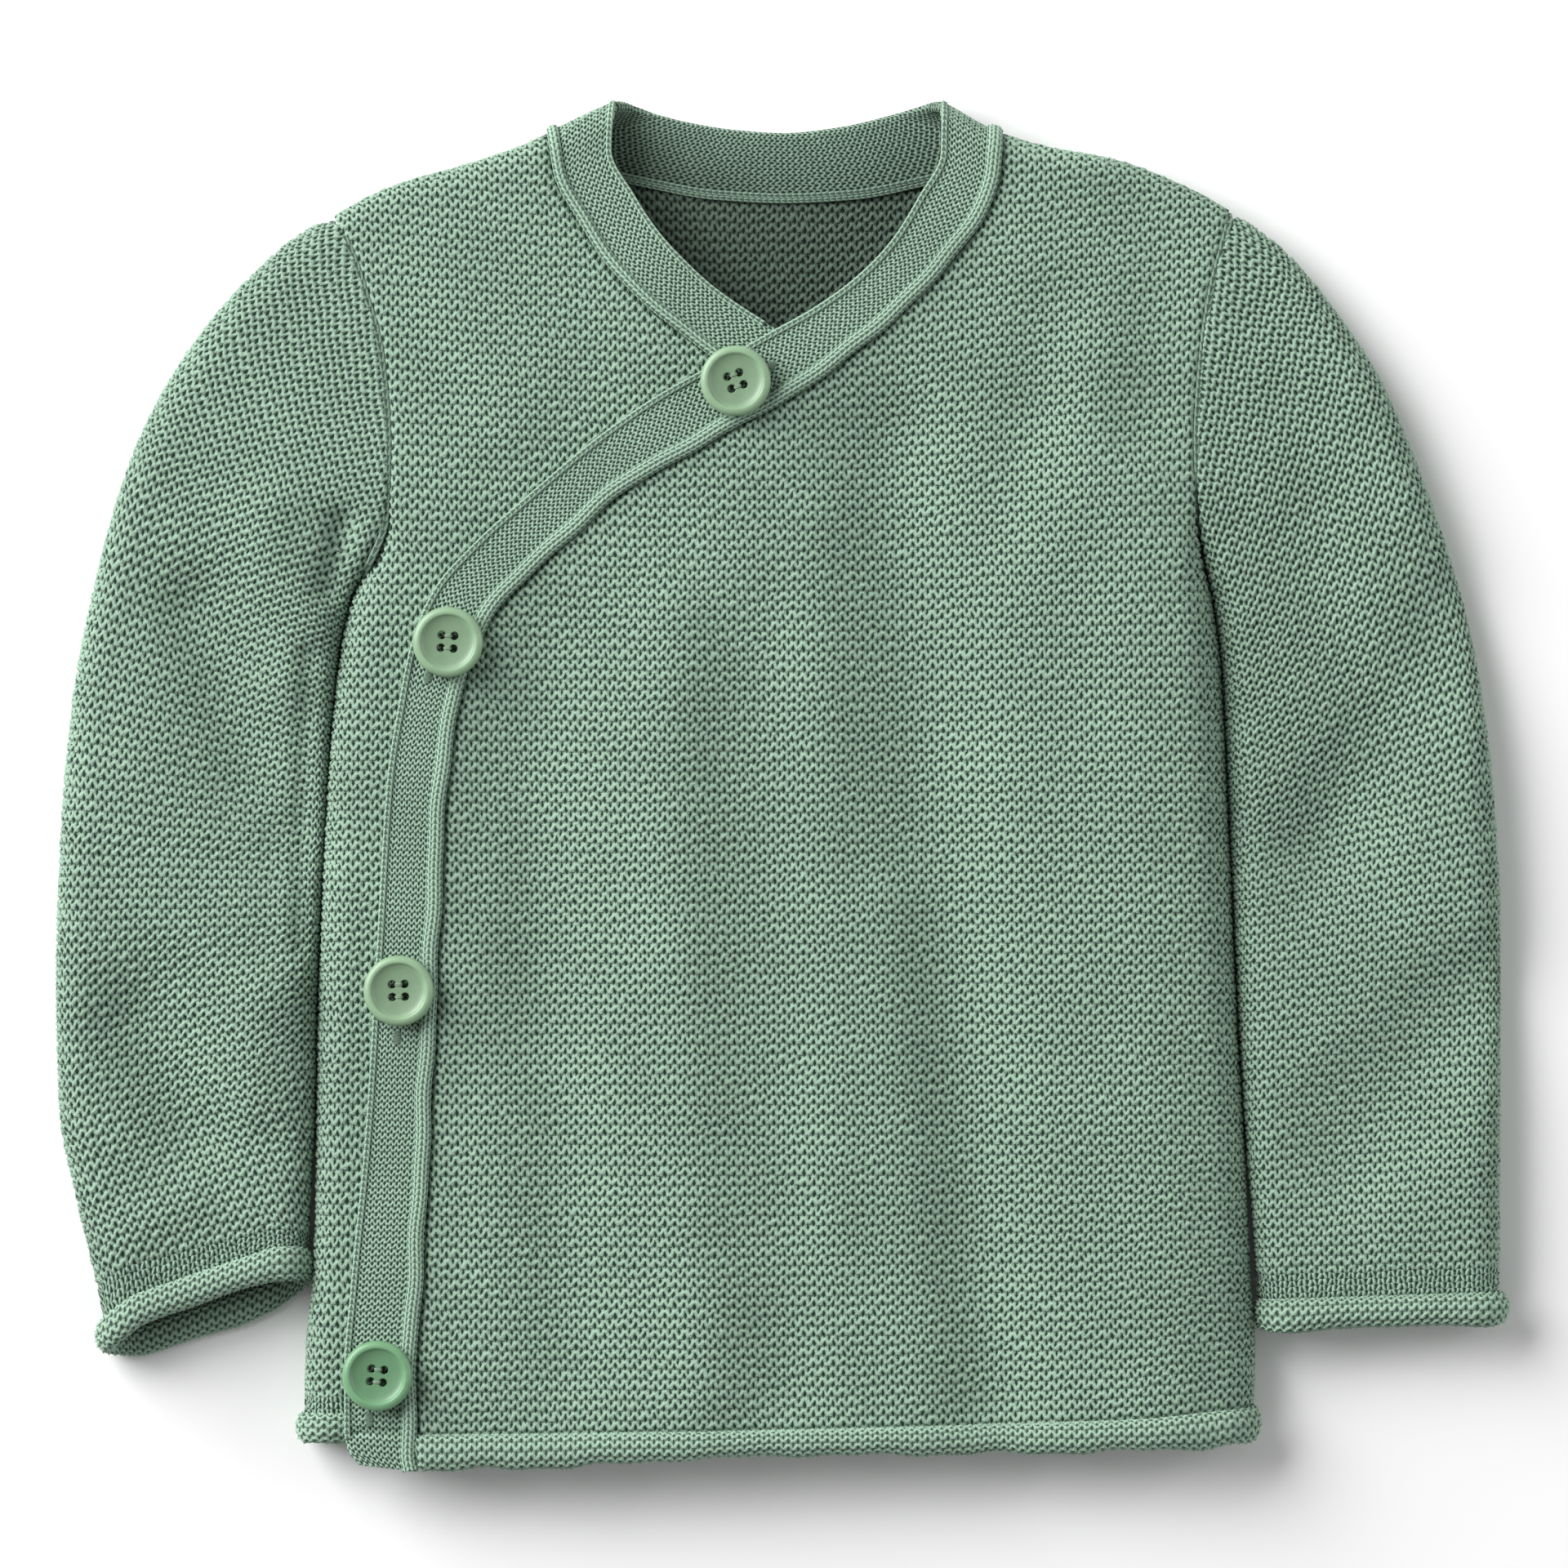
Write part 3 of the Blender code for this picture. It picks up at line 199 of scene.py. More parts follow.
# Smaller creases, uneven in length, depth and spacing
CREASES = (
    (-70.0, 20.0, -73.0, -30.0, 4.5, 0.5), (-74.0, -60.0, -76.0, -125.0, 5.0, 0.45),
    (2.0, 20.0, 0.0, -60.0, 6.0, -0.45), (44.0, 40.0, 47.0, -30.0, 6.0, 0.4),
    (76.0, 20.0, 80.0, -110.0, 7.0, 0.35), (92.0, 30.0, 99.0, -60.0, 5.0, -0.3),
    (30.0, 100.0, 62.0, 88.0, 7.0, 0.45), (56.0, 120.0, 82.0, 100.0, 8.0, -0.35),
    (-84.0, 100.0, -70.0, 74.0, 7.0, 0.4), (-58.0, 108.0, -40.0, 86.0, 8.0, 0.3),
    (-100.0, 20.0, -98.0, -60.0, 3.5, 0.35), (-101.0, -70.0, -104.0, -120.0, 3.5, 0.3),
    (-150.0, 60.0, -160.0, 10.0, 6.0, 0.5), (-116.0, 60.0, -120.0, 30.0, 5.0, 0.6),
    (-162.0, -20.0, -146.0, -44.0, 6.0, 0.5), (-130.0, -86.0, -150.0, -100.0, 6.0, -0.5),
    (-118.0, -10.0, -121.0, -40.0, 4.0, 0.6), (120.0, 60.0, 128.0, 30.0, 6.0, 0.5),
    (110.0, 108.0, 122.0, 80.0, 7.0, 0.4), (156.0, 20.0, 150.0, -26.0, 6.0, 0.4),
    (120.0, -30.0, 134.0, -52.0, 5.0, 0.5), (158.0, -80.0, 134.0, -96.0, 6.0, 0.5),
    (-30.0, -60.0, -27.0, -140.0, 7.0, 0.35), (10.0, -90.0, 14.0, -146.0, 6.0, -0.3),
    (27.0, 80.0, 51.0, -142.0, 12.5, 4.6), (24.0, -30.0, 34.0, -142.0, 9.0, -1.9),
    (7.0, 62.0, 12.0, -100.0, 7.0, -0.9), (-2.0, 42.0, 2.0, -142.0, 8.0, 1.0),
    (-56.0, 30.0, -48.0, -136.0, 12.0, 3.5), (-26.0, 38.0, -19.0, -142.0, 11.0, -3.2),
    (84.0, 66.0, 88.0, -142.0, 15.0, -3.4), (64.0, 112.0, 50.0, 58.0, 9.0, 1.8),
    (78.0, 118.0, 66.0, 56.0, 8.0, -1.1), (-82.0, 122.0, -66.0, 84.0, 8.0, -1.0),
    (-134.0, 42.0, -117.0, -8.0, 14.0, 4.0), (-119.0, 64.0, -117.0, 26.0, 8.0, -2.4),
    (-150.0, -54.0, -134.0, -82.0, 13.0, 3.9), (-122.0, -50.0, -124.0, -76.0, 7.0, -1.8),
    (-140.0, -98.0, -152.0, -105.0, 6.0, -1.1), (129.0, -16.0, 157.0, 42.0, 13.0, 4.0),
    (133.0, -88.0, 165.0, -48.0, 13.0, 4.0), (124.0, 66.0, 134.0, 28.0, 8.0, 1.2),
    (146.0, -14.0, 158.0, -36.0, 8.0, -1.0), (-103.5, 61.0, -106.5, 46.0, 3.4, 3.2),
    (-111.5, 30.0, -113.5, -38.0, 2.8, 2.0), (101.5, 44.0, 105.5, -20.0, 2.6, 1.2),
)

# Loops of the knit, in shares of a stitch or a ridge
LOOP_SWAY = 0.23          # how far a row of garter knit swings up and down
LOOP_SQUARE = 1.7         # how square its loops are
LOOP_THICKNESS = 0.3      # half of the yarn's thickness
LOOP_LEAN = 0.1           # how much slimmer the upper loops are than the lower ones
LEG_SPREAD = 1.7          # how much wider the legs between its loops are
LEG_DROP = 0.15           # how much lower they lie
RIDGE_LINE = 0.4          # how deep the line between two ridges is
RIDGE_LINE_WIDTH, RIDGE_LINE_SWAY = 0.12, 0.05
PLAIN_FOOT, PLAIN_SLANT, PLAIN_LEG = 0.17, 0.17, 0.19     # the legs of a plain stitch
PLAIN_BOW = (0.45, 0.28)  # how much lower their ends are, in relief and in shade
PLAIN_RIBS, PLAIN_ROWS = 1.0, 1.6     # to a garter stitch and ridge, where rows are plain
FINE_LOOPS = (0.285, 1.4) # thickness and spread of the legs in the fine knit
LOOP_WOBBLE = 0.055       # how unevenly the loops lie
PAINTED_INSIDE_SHADE = 0.68       # painted shade: how much darker the knit is painted inside the garment
KNIT_LEVEL = 0.55         # height of the loops that lies on the cloth's smooth face
FINE_LEVEL = 0.5          # the same for the fine bands and the rolls
CHAIN_LEVEL = 0.6         # the same for the legs of a chain
TIGHT_LOOP, LOOSE_LOOP = 0.86, 0.28   # height of the tightest loop, and more for the loosest

# Waves that set the loops and the rows astray, across and along the knit
# by x, by y, start, size
LOOP_WAVES = (
    ((1.3, 2.1, 0.0, 1.0), (-2.9, 3.7, 1.0, 1.0), (0.6, 1.1, 0.0, 1.0)),
    ((2.7, 1.1, 0.0, 1.0), (4.3, -1.9, 2.0, 1.0), (0.7, -0.5, 0.0, 1.0)),
)
ROW_WAVES = (
    ((0.41, 0.23, 1.3, 1.0), (-0.27, 0.55, 0.4, 0.8), (0.93, -0.71, 0.0, 0.6)),
    ((0.33, -0.19, 2.1, 1.0), (0.62, 0.37, 0.0, 0.8), (0.58, 1.07, 0.9, 0.6)),
)

# Rows of the body's panels
HEM_SETTLED = (0.0, 80.0) # over these levels the rows straighten out of the hem's line
TILTED = (150.0, 270.0)   # over these levels they begin to tilt
TILT_BEND = 35.0          # how softly they bend in the middle
OVER_ROWS, UNDER_ROWS, BACK_ROWS = 316.0, 313.0, 320.0    # levels of the last rows
OVER_TILT, UNDER_TILT, BACK_TILT = 0.11, 0.087, 0.05
UNDER_PLAIN = 4.8         # plain rows over the under front's hem
UNDER_SHOWN = 5.0         # its stitches are whole up to this far under the over front's edge
NECK_SHOWN = (56.0, 84.0) # half width and lowest y of the back's inside that the neck shows
NECK_ROWS = 231.0         # level of its lowest row there
ROW_END = 0.3             # nearest that a half stitch comes to the end of its row
EDGE_FADE = 1.6           # how far from an edge the loops get their full height
PLAIN_FADE = 0.8          # between plain rows and garter rows
BAND_EDGE_FADE = 1.2      # how far from a band's edges its loops get their full height
COARSE_ROWS, COARSE_STITCHES = 8, 4   # faces without loops have one of so many
COVERED_STITCHES = 8      # and so has the under front where the over front covers it

# Where the over front's band turns up at the hem, and the ridge and the groove of the turn
BAND_TURN = -151.7
BAND_TURN_RISE, BAND_TURN_GROOVE, BAND_TURN_WIDTH = 0.35, 1.1, 0.7

FURROW = 0.8              # how far the edges are drawn in along a seam

# Seams between the body and the sleeves
ARMHOLE_SEAMS = (
    # side, its side line, outwards, lowest y, how high up it lies below the armhole
    ("right", 0, -1, 46.0, 0.93), ("left", 1, 1, 58.0, 0.0),
)
ARMHOLE_TOP = 132.0       # about where they meet the shoulder's rim
ARMHOLE_BEHIND = 14.0     # how far they go on behind it
ARMHOLE_START = 7.0       # length over which they come up from between body and sleeve
ARMHOLE_OUT = 0.45        # outside the side line
ARMHOLE_CORNER = 133.5    # which isn't followed beyond this height
ARMHOLE_RIM = (6.0, 0.3, 0.15)    # this near the shoulder's rim they draw in and rise so much

BUTTONS = (
    # x,    y,    turned, deeper green
    (-11.3, 94.2, 20.0, 0.0), (-78.6, 33.2, -4.0, 0.0), (-90.0, -48.3, 2.0, 0.0),
    (-95.0, -138.3, -6.0, 1.0),
)
BUTTON_STAND = 2.0        # between a button's underside and the band
BUTTON_PROFILE = (
    # radius, height over the underside
    (0.0, 0.0), (6.6, 0.0), (7.5, 0.12), (8.05, 0.5), (8.25, 1.0), (8.22, 1.6), (8.0, 2.1),
    (7.6, 2.42), (7.1, 2.57), (6.7, 2.6), (6.45, 2.5), (6.3, 2.25), (6.12, 1.98), (5.7, 1.78),
    (4.8, 1.56), (3.4, 1.38), (1.8, 1.28), (0.0, 1.26),
)
BUTTON_HOLE_OFFSET = 1.47     # of a thread hole's middle, both ways
BUTTON_HOLE_RADIUS = 0.92
BUTTON_HOLE_RIM = (
    # wider by, height
    (0.0, -1.0), (0.0, 0.95), (0.05, 1.15), (0.2, 1.3), (0.4, 3.0),
)
BUTTON_BOWL = (0.0052, 0.0066)        # radii in metres between which the bowl's colour ends
BUTTON_BOWL_TONE = 0.76
THREAD_RADIUS = 0.15
THREAD_PAIR = 0.17        # half of the gap between two threads side by side
THREAD_RISE = (
    # from the middle of a hole, height: up through it and over
    (0.66, -1.0), (0.68, 0.9), (0.84, 1.3),
)
THREAD_TOP = 1.42
SHANK_RADIUS, SHANK_THREAD, SHANK_TURNS = 1.75, 0.24, 4
SHANK_LOW, SHANK_HEIGHT = -1.7, 1.5
BUTTONHOLES = (
    # x,   y,    turned
    (-3.3, 97.6, 35.0), (-83.3, 25.2, 80.0), (-90.6, -59.4, 88.0), (-97.0, -148.7, 90.0),
)
HOLE_STITCHES, HOLE_SPACING = 9, 0.36
HOLE_HALF_WIDTH, HOLE_HALF_LENGTH = 0.95, 1.9
HOLE_SLANT = 0.12         # how far its stitches slant, one way or the other
HOLE_ARCH, HOLE_SINK, HOLE_THREAD = 0.3, 0.05, 0.2    # their height, depth and radius

FLOOR_LEVEL = -0.0001     # in metres, just clear of the cloth


# ---------------------------------------------------------------- settings
class CardiganKnit(bpy.types.PropertyGroup):
    stitch: bpy.props.FloatProperty(
        name="Stitch", description="Width of a stitch of the garter knit",
        default=0.00232, min=0.001, max=0.01, precision=5, unit="LENGTH")
    ridge: bpy.props.FloatProperty(
        name="Ridge", description="Height of a garter ridge, which is two rows",
        default=0.00236, min=0.001, max=0.01, precision=5, unit="LENGTH")
    relief: bpy.props.FloatProperty(
        name="Relief", description="Depth of the garter knit from its loops to its gaps",
        default=0.00085, min=0.0, max=0.003, precision=5, unit="LENGTH")
    unevenness: bpy.props.FloatProperty(
        name="Unevenness", description="How far the stitches stray from straight rows",
        default=0.0001, min=0.0, max=0.001, precision=5, unit="LENGTH")
    yarn: bpy.props.FloatVectorProperty(
        name="Yarn", description="Colour of the yarn where it lies on top",
        default=(0.335, 0.485, 0.372), subtype="COLOR", size=3, min=0.0, max=1.0)
    # painted shade: the knit's colour deep between its loops, where shade falls
    shade: bpy.props.FloatVectorProperty(
        name="Gaps", description="Colour of the yarn deep between the loops",
        default=(0.014, 0.04, 0.025), subtype="COLOR", size=3, min=0.0, max=1.0)


class CardiganBands(bpy.types.PropertyGroup):
    stitch: bpy.props.FloatProperty(
        name="Stitch", description="Width of a stitch of the fine bands",
        default=0.00135, min=0.0005, max=0.01, precision=5, unit="LENGTH")
    ridge: bpy.props.FloatProperty(
        name="Ridge", description="Height of a ridge of the fine bands",
        default=0.00144, min=0.0005, max=0.01, precision=5, unit="LENGTH")
    relief: bpy.props.FloatProperty(
        name="Relief", description="Depth of the fine bands' knit",
        default=0.00042, min=0.0, max=0.002, precision=5, unit="LENGTH")
    cord_width: bpy.props.FloatProperty(
        name="Cord", description="Width of the raised cord along a front's band",
        default=0.0039, min=0.001, max=0.01, precision=5, unit="LENGTH")
    cord_row: bpy.props.FloatProperty(
        name="Cord row", description="Length of a stitch along the cord",
        default=0.00145, min=0.0005, max=0.01, precision=5, unit="LENGTH")


class CardiganButtons(bpy.types.PropertyGroup):
    colour: bpy.props.FloatVectorProperty(
        name="Colour", description="Colour of the buttons' rims",
        default=(0.27, 0.42, 0.26), subtype="COLOR", size=3, min=0.0, max=1.0)
    deep_colour: bpy.props.FloatVectorProperty(
        name="Lowest button", description="Colour of the lowest button, from another card",
        default=(0.17, 0.36, 0.19), subtype="COLOR", size=3, min=0.0, max=1.0)
    thread: bpy.props.FloatVectorProperty(
        name="Thread", description="Colour of the sewing thread",
        default=(0.27, 0.39, 0.27), subtype="COLOR", size=3, min=0.0, max=1.0)
    shank: bpy.props.FloatVectorProperty(
        name="Shank", description="Colour of the thread under the buttons, in their shade",
        default=(0.05, 0.045, 0.03), subtype="COLOR", size=3, min=0.0, max=1.0)
    buttonhole: bpy.props.FloatVectorProperty(
        name="Buttonhole", description="Colour of the thread round the buttonholes",
        default=(0.15, 0.225, 0.165), subtype="COLOR", size=3, min=0.0, max=1.0)


class CardiganStage(bpy.types.PropertyGroup):
    floor: bpy.props.FloatVectorProperty(
        name="Floor", description="Colour of the plain floor",
        default=(0.97, 0.97, 0.97), subtype="COLOR", size=3, min=0.0, max=1.0)
    view_width: bpy.props.FloatProperty(
        name="View width", description="Width of the floor that the camera takes in",
        default=0.36864, min=0.1, max=5.0, precision=5, unit="LENGTH")
    camera_height: bpy.props.FloatProperty(
        name="Camera height", description="Height of the camera over the floor",
        default=2.2, min=0.5, max=10.0, unit="LENGTH")
    key: bpy.props.FloatProperty(
        name="Key light", description="Power of the soft light from the upper left",
        default=190.0, min=0.0, unit="POWER")
    fill: bpy.props.FloatProperty(
        name="Fill light", description="Power of the soft light from the right",
        default=26.0, min=0.0, unit="POWER")
    sky: bpy.props.FloatProperty(
        name="Sky", description="Strength of the even light from all round",
        default=0.27, min=0.0, max=10.0)


GROUPS = (
    ("cardigan_knit", CardiganKnit),
    ("cardigan_bands", CardiganBands),
    ("cardigan_buttons", CardiganButtons),
    ("cardigan_stage", CardiganStage),
)


# ---------------------------------------------------------------- curves and surfaces
def column(table, index):
    """One column of a table."""
    return np.array([row[index] for row in table], float)


def smooth_curve(knots, values, at):
    """Smooth curve through the knots that doesn't swing past them."""
    step = np.diff(knots)
    slope = np.diff(values) / step
    tangent = np.empty_like(values)
    tangent[1:-1] = np.where(slope[:-1] * slope[1:] > 0,
                             2 * slope[:-1] * slope[1:] / (slope[:-1] + slope[1:] + 1e-12), 0.0)
    tangent[0], tangent[-1] = slope[0], slope[-1]
    cell = np.clip(np.searchsorted(knots, at) - 1, 0, len(step) - 1)
    part = (at - knots[cell]) / step[cell]
    a, b = values[cell], values[cell + 1]
    ta, tb = tangent[cell] * step[cell], tangent[cell + 1] * step[cell]
    return (a + part * ta + part ** 2 * (3 * (b - a) - 2 * ta - tb)
            + part ** 3 * (2 * (a - b) + ta + tb))


def length_of(points):
    """How far along a line of points each one is."""
    steps = np.linalg.norm(np.diff(points, axis=0), axis=1)
    return np.concatenate([[0.0], np.cumsum(steps)])


def path_curve(table, at):
    """Columns of a table as smooth functions of the way along it, at = 0 to 1."""
    rows = np.array(table, float)
    length = length_of(rows)
    knots = length / length[-1]
    return [smooth_curve(knots, rows[:, k], np.asarray(at, float)) for k in range(rows.shape[1])]


def table_line(table, at, index=1):
    """One column of a table as a smooth function of its first one."""
    return smooth_curve(column(table, 0), column(table, index), at)


def smooth_step(value):
    value = np.clip(value, 0.0, 1.0)
    return value * value * (3 - 2 * value)


def rising(value, stretch):
    """0 before a stretch and 1 after it, with a smooth rise between."""
    return smooth_step((value - stretch[0]) / (stretch[1] - stretch[0]))


def side_lines(y):
    """x of the body's right and left side lines."""
    knots = column(SIDE_LINES, 0)
    return [smooth_curve(knots, column(SIDE_LINES, k), y) for k in (1, 2)]


def shoulder_line(x):
    return table_line(SHOULDER_LINE, x)


def armhole_open(y):
    """1 where the body opens into a sleeve, and 0 below the armpit."""
    return rising(y, ARMPIT)


def folds(x, y):
    """Height of the folds and creases, below or above the smooth cloth."""
    total = np.zeros(np.broadcast(x, y).shape)
    for x0, y0, x1, y1, half_width, depth in FOLDS + CREASES:
        run, rise = x1 - x0, y1 - y0
        along = np.clip(((x - x0) * run + (y - y0) * rise) / (run ** 2 + rise ** 2), 0.0, 1.0)
        away = np.hypot(x - x0 - along * run, y - y0 - along * rise)
        total = total - depth * np.exp(-(away / half_width) ** 2)
    return total


def crest(x, y):
    """Height of the garment's top over the surface."""
    crown = BODY_CROWN * np.exp(-(x / BODY_CROWN_WIDTH) ** 2)
    return CREST + crown - YOKE_DROP * rising(y, YOKE) + folds(x, y)


def flat_spare(radius):
    """How much longer a quarter turn of cloth is than its radius."""
    return radius * (math.pi / 2 - 1)


def over_rim(distance, radius):
    """Plan shift inwards and rise (0 at the seam, 1 on top) at a flat distance from a rim."""
    radius = np.maximum(radius, 1e-6)
    angle = np.clip(distance / radius, 0.0, math.pi / 2)
    shift = np.where(distance < radius * math.pi / 2,
                     radius * (1 - np.cos(angle)) - (distance - flat_spare(radius)), 0.0)
    return shift, np.sin(angle)


def body_surface(x, y, face, lift=0.0):
    """Outer face of the body at flat cloth points: face 1 is the front, -1 the back."""
    right, left = side_lines(y)
    opened = armhole_open(y)
    radius = SIDE_RIM * (1 - opened)
    outset = seam_outset(y)
    shift_right, rise_right = over_rim(x - (right - outset), radius)
    shift_left, rise_left = over_rim((left + outset) - x, radius)
    shift_top, rise_top = over_rim(shoulder_top(x) - y, SHOULDER_RIM)
    rise = rise_top
    for rise_side in (rise_right, rise_left):
        rise = rise * (opened + (1 - opened) * rise_side)
    plan_x = x + shift_right - shift_left
    plan_y = y - shift_top
    if face > 0:
        level = RIM_HEIGHT + (crest(plan_x, plan_y) + lift - RIM_HEIGHT) * rise
    else:
        level = RIM_HEIGHT - (RIM_HEIGHT - lift) * rise
    return np.stack([plan_x, plan_y, level], -1)


def sleeve_span(table, way):
    """Inner and outer plan points of a sleeve's rows, how open they are, and their widths
    in plan and flat."""
    inner_y, outer_x, outer_y = path_curve(table, way)
    side = 1 if table[0][1] > 0 else -1
    opened = armhole_open(inner_y)
    gap = SIDE_CLEARANCE * (1 - opened) + CUFF_CLEARANCE * rising(way, CUFF_CLEARED)
    inner_x = side_lines(inner_y)[1 if side > 0 else 0] + side * gap
    width = np.hypot(inner_x - outer_x, inner_y - outer_y)
    narrow = SLEEVE_RIM * np.arccos(1 - np.minimum(width / SLEEVE_RIM, 1.0))
    flat = np.where(width < SLEEVE_RIM, narrow, width + flat_spare(SLEEVE_RIM))
    flat = flat + flat_spare(SLEEVE_RIM * (1 - opened))
    return inner_x, inner_y, outer_x, outer_y, opened, width, flat


def sleeve_surface(table, reach, way, around):
    """Outer face of a sleeve: around is -1 at the inner seam from below, 0 on the outer rim
    and 1 at the inner seam from above."""
    inner_x, inner_y, outer_x, outer_y, opened, width, flat = sleeve_span(table, way)
    inner_radius = SLEEVE_RIM * (1 - opened)
    distance = np.abs(around) * flat
    shift_out, rise_out = over_rim(distance, SLEEVE_RIM)
    shift_in, rise_in = over_rim(flat - distance, inner_radius)
    plan = distance - flat_spare(SLEEVE_RIM) + shift_out - shift_in
    up = rise_out * (opened + (1 - opened) * rise_in)
    x = outer_x + (inner_x - outer_x) / width * plan
    y = outer_y + (inner_y - outer_y) / width * plan
    above = RIM_HEIGHT + (crest(x, y) - RIM_HEIGHT) * up
    below = RIM_HEIGHT - (RIM_HEIGHT - CUFF_RAISE * rising(way, CUFF_RAISED)) * up
    turned = 0.5 - 0.5 * np.clip(CUFF_TURN * np.sin(math.pi * around), -1.0, 1.0)
    y = y - reach * turned * rising(way, CUFF_REACHED)
    return np.stack([x, y, np.where(around >= 0, above, below)], -1)


def normals(surface, u, v, steps=(0.05, 0.05)):
    """Unit normals of surface(u, v), from small steps in u and v."""
    along_u = surface(u + steps[0], v) - surface(u - steps[0], v)
    along_v = surface(u, v + steps[1]) - surface(u, v - steps[1])
    return unit(np.cross(along_u, along_v))


def unit(vectors):
    return vectors / np.maximum(np.linalg.norm(vectors, axis=-1, keepdims=True), 1e-12)


def no_lift(x, y):
    return np.zeros(np.broadcast(x, y).shape)


def over_lift(x, y):
    """How much higher than the under front the over front lies."""
    layered_to = LAYERED_X - LAYERED_YOKE * rising(y, LAYERED_ARMPIT)
    return (WALL + LAYER_GAP) * (1 - smooth_step((x - layered_to) / LAYERED_FADE))


def back_lift(x, y):
    return HEM_RAISE * (1 - smooth_step((y - table_line(BACK_HEM, x)) / HEM_RAISE_LENGTH))


def covered(x):
    return rising(x, HEM_COVERED)


def under_roll_lift(x, y):
    return -UNDER_ROLL_DROP * covered(x)


def band_over_lift(x, y):
    return np.full(np.broadcast(x, y).shape, BAND_WALL + LAYER_GAP)


def band_under_lift(x, y):
    return UNDER_BAND_RISE * (1 - rising(x, UNDER_FADE))


def seam_outset(y):
    """How far the flat cloth reaches beyond a side line, for the turn of its rim."""
    opened = armhole_open(y)
    return flat_spare(SIDE_RIM * (1 - opened)) - SIDE_CLEARANCE * (1 - opened)


def right_side(y):
    return side_lines(y)[0] - seam_outset(y)


def left_side(y):
    return side_lines(y)[1] + seam_outset(y)


def shoulder_top(x):
    return shoulder_line(x) + flat_spare(SHOULDER_RIM)


def side_at(side, y):
    """Flat x of a panel's outer edge at a flat height, over the shoulder's rim too."""
    y = np.minimum(y, SHOULDER_CORNER)
    return side(y - over_rim(shoulder_top(side(y)) - y, SHOULDER_RIM)[0])


def folded_rows(table):
    """A band's table with its ends led up to the shoulder's rim."""
    rows = np.array(table)
    for row in (rows[0], rows[-1]):
        for at in (0, 2):
            if row[at + 1] > FOLD_ABOVE:
                row[at + 1] = shoulder_top(row[at])
    return rows


def cord_at(table, y):
    """x of a band's cord at height y."""
    line = path_curve(folded_rows(table), np.linspace(0.0, 1.0, 801))
    return np.interp(y, line[1][::-1], line[0][::-1])


def back_top(x):
    """Flat top of the back: the shoulders, and the neckband's seam between them."""
    neck = np.clip(x, BACK_BAND[0][0], BACK_BAND[-1][0])
    seam = table_line(BACK_BAND, neck) - NECK_GAP
    beside = np.abs(x) > NECK_HALF
    return np.where(beside, shoulder_top(x), np.minimum(shoulder_top(x), seam))


def band_face(table, face, lift):
    """A band's surface(way, across), where across is 0 at its seam and 1 at its free edge,
    and its normals, up or down, from a little inside its ends and edges."""
    rows = folded_rows(table)

    def surface(way, across):
        seam_x, seam_y, edge_x, edge_y = path_curve(rows, way)
        x = seam_x + (edge_x - seam_x) * across
        y = np.minimum(seam_y + (edge_y - seam_y) * across, shoulder_top(x))
        return body_surface(x, y, face, lift(x, y))

    def turned(way, across, upward=1):
        way, across = (np.clip(value, near, 1 - near)
                       for value, near in zip((way, across), BAND_INSET))
        found = normals(surface, way, across, BAND_STEPS)
        return np.where(found[..., 2:3] * upward < 0, -found, found)

    return surface, turned


def over_band_face(x, y):
    """Outer face of the over front's band, which the buttons lie on."""
    return body_surface(x, y, 1, band_over_lift(x, y))


def sleeve_face(side, table):
    """A sleeve's surface(way, around), and its outward directions there."""
    def surface(way, around):
        return sleeve_surface(table, CUFF_REACH[side], way, around)

    def outward(way, around):
        around = np.clip(around, -SLEEVE_SEAM, SLEEVE_SEAM)
        return sign * normals(surface, way, around, SLEEVE_STEPS)

    middle = np.array([0.5])
    sign = np.sign(normals(surface, middle, middle, SLEEVE_STEPS)[0, 2])
    return surface, outward


# ---------------------------------------------------------------- stitches
def garter(u, v, loops=(LOOP_THICKNESS, LEG_SPREAD)):
    """Height of garter knit, 0 in its gaps to 1 on its loops: u in stitches, v in ridges."""
    turn = 2 * math.pi * u
    swing = np.tanh(LOOP_SQUARE * np.cos(turn)) / math.tanh(LOOP_SQUARE)
    leg = np.sin(turn) ** 2
    away = v - LOOP_SWAY * swing
    away = away - np.floor(away + 0.5)
    thickness = loops[0] * (1 + loops[1] * leg) * (1 - LOOP_LEAN * swing)
    line = v - 0.5 - RIDGE_LINE_SWAY * swing
    line = (line - np.floor(line + 0.5)) / RIDGE_LINE_WIDTH
    return (np.maximum(0.0, 1 - (away / thickness) ** 2) * (1 - LEG_DROP * leg)
            * (1 - RIDGE_LINE * np.maximum(0.0, 1 - line ** 2)))


def waves(x, y, table):
    """Sums of waves, one for each of a table's rows."""
    return np.stack([sum(size * np.sin(by_x * x + by_y * y + start)
                         for by_x, by_y, start, size in row) for row in table], -1)


def wobble(knit):
    """Uneven loops: moves the knit coordinates a little, differently from loop to loop."""
    return knit + LOOP_WOBBLE * waves(knit[..., 0], knit[..., 1], LOOP_WAVES)


def plain(u, v):
    """Height of plain knit: two slanting legs to a stitch, which narrow to its foot."""
    leg = np.abs(u - np.floor(u) - 0.5)
    part = v - np.floor(v)
    side = (leg - PLAIN_FOOT - PLAIN_SLANT * part) / PLAIN_LEG
    bow = 1 - PLAIN_BOW[0] + PLAIN_BOW[0] * np.sin(math.pi * part)
    return np.sqrt(np.maximum(0.0, 1 - side ** 2)) * bow


def speck(i, j):
    """An even scatter from 0 to 1 for whole numbers i and j."""
    value = np.sin(i * 12.9898 + j * 78.233) * 43758.5453
    return value - np.floor(value)


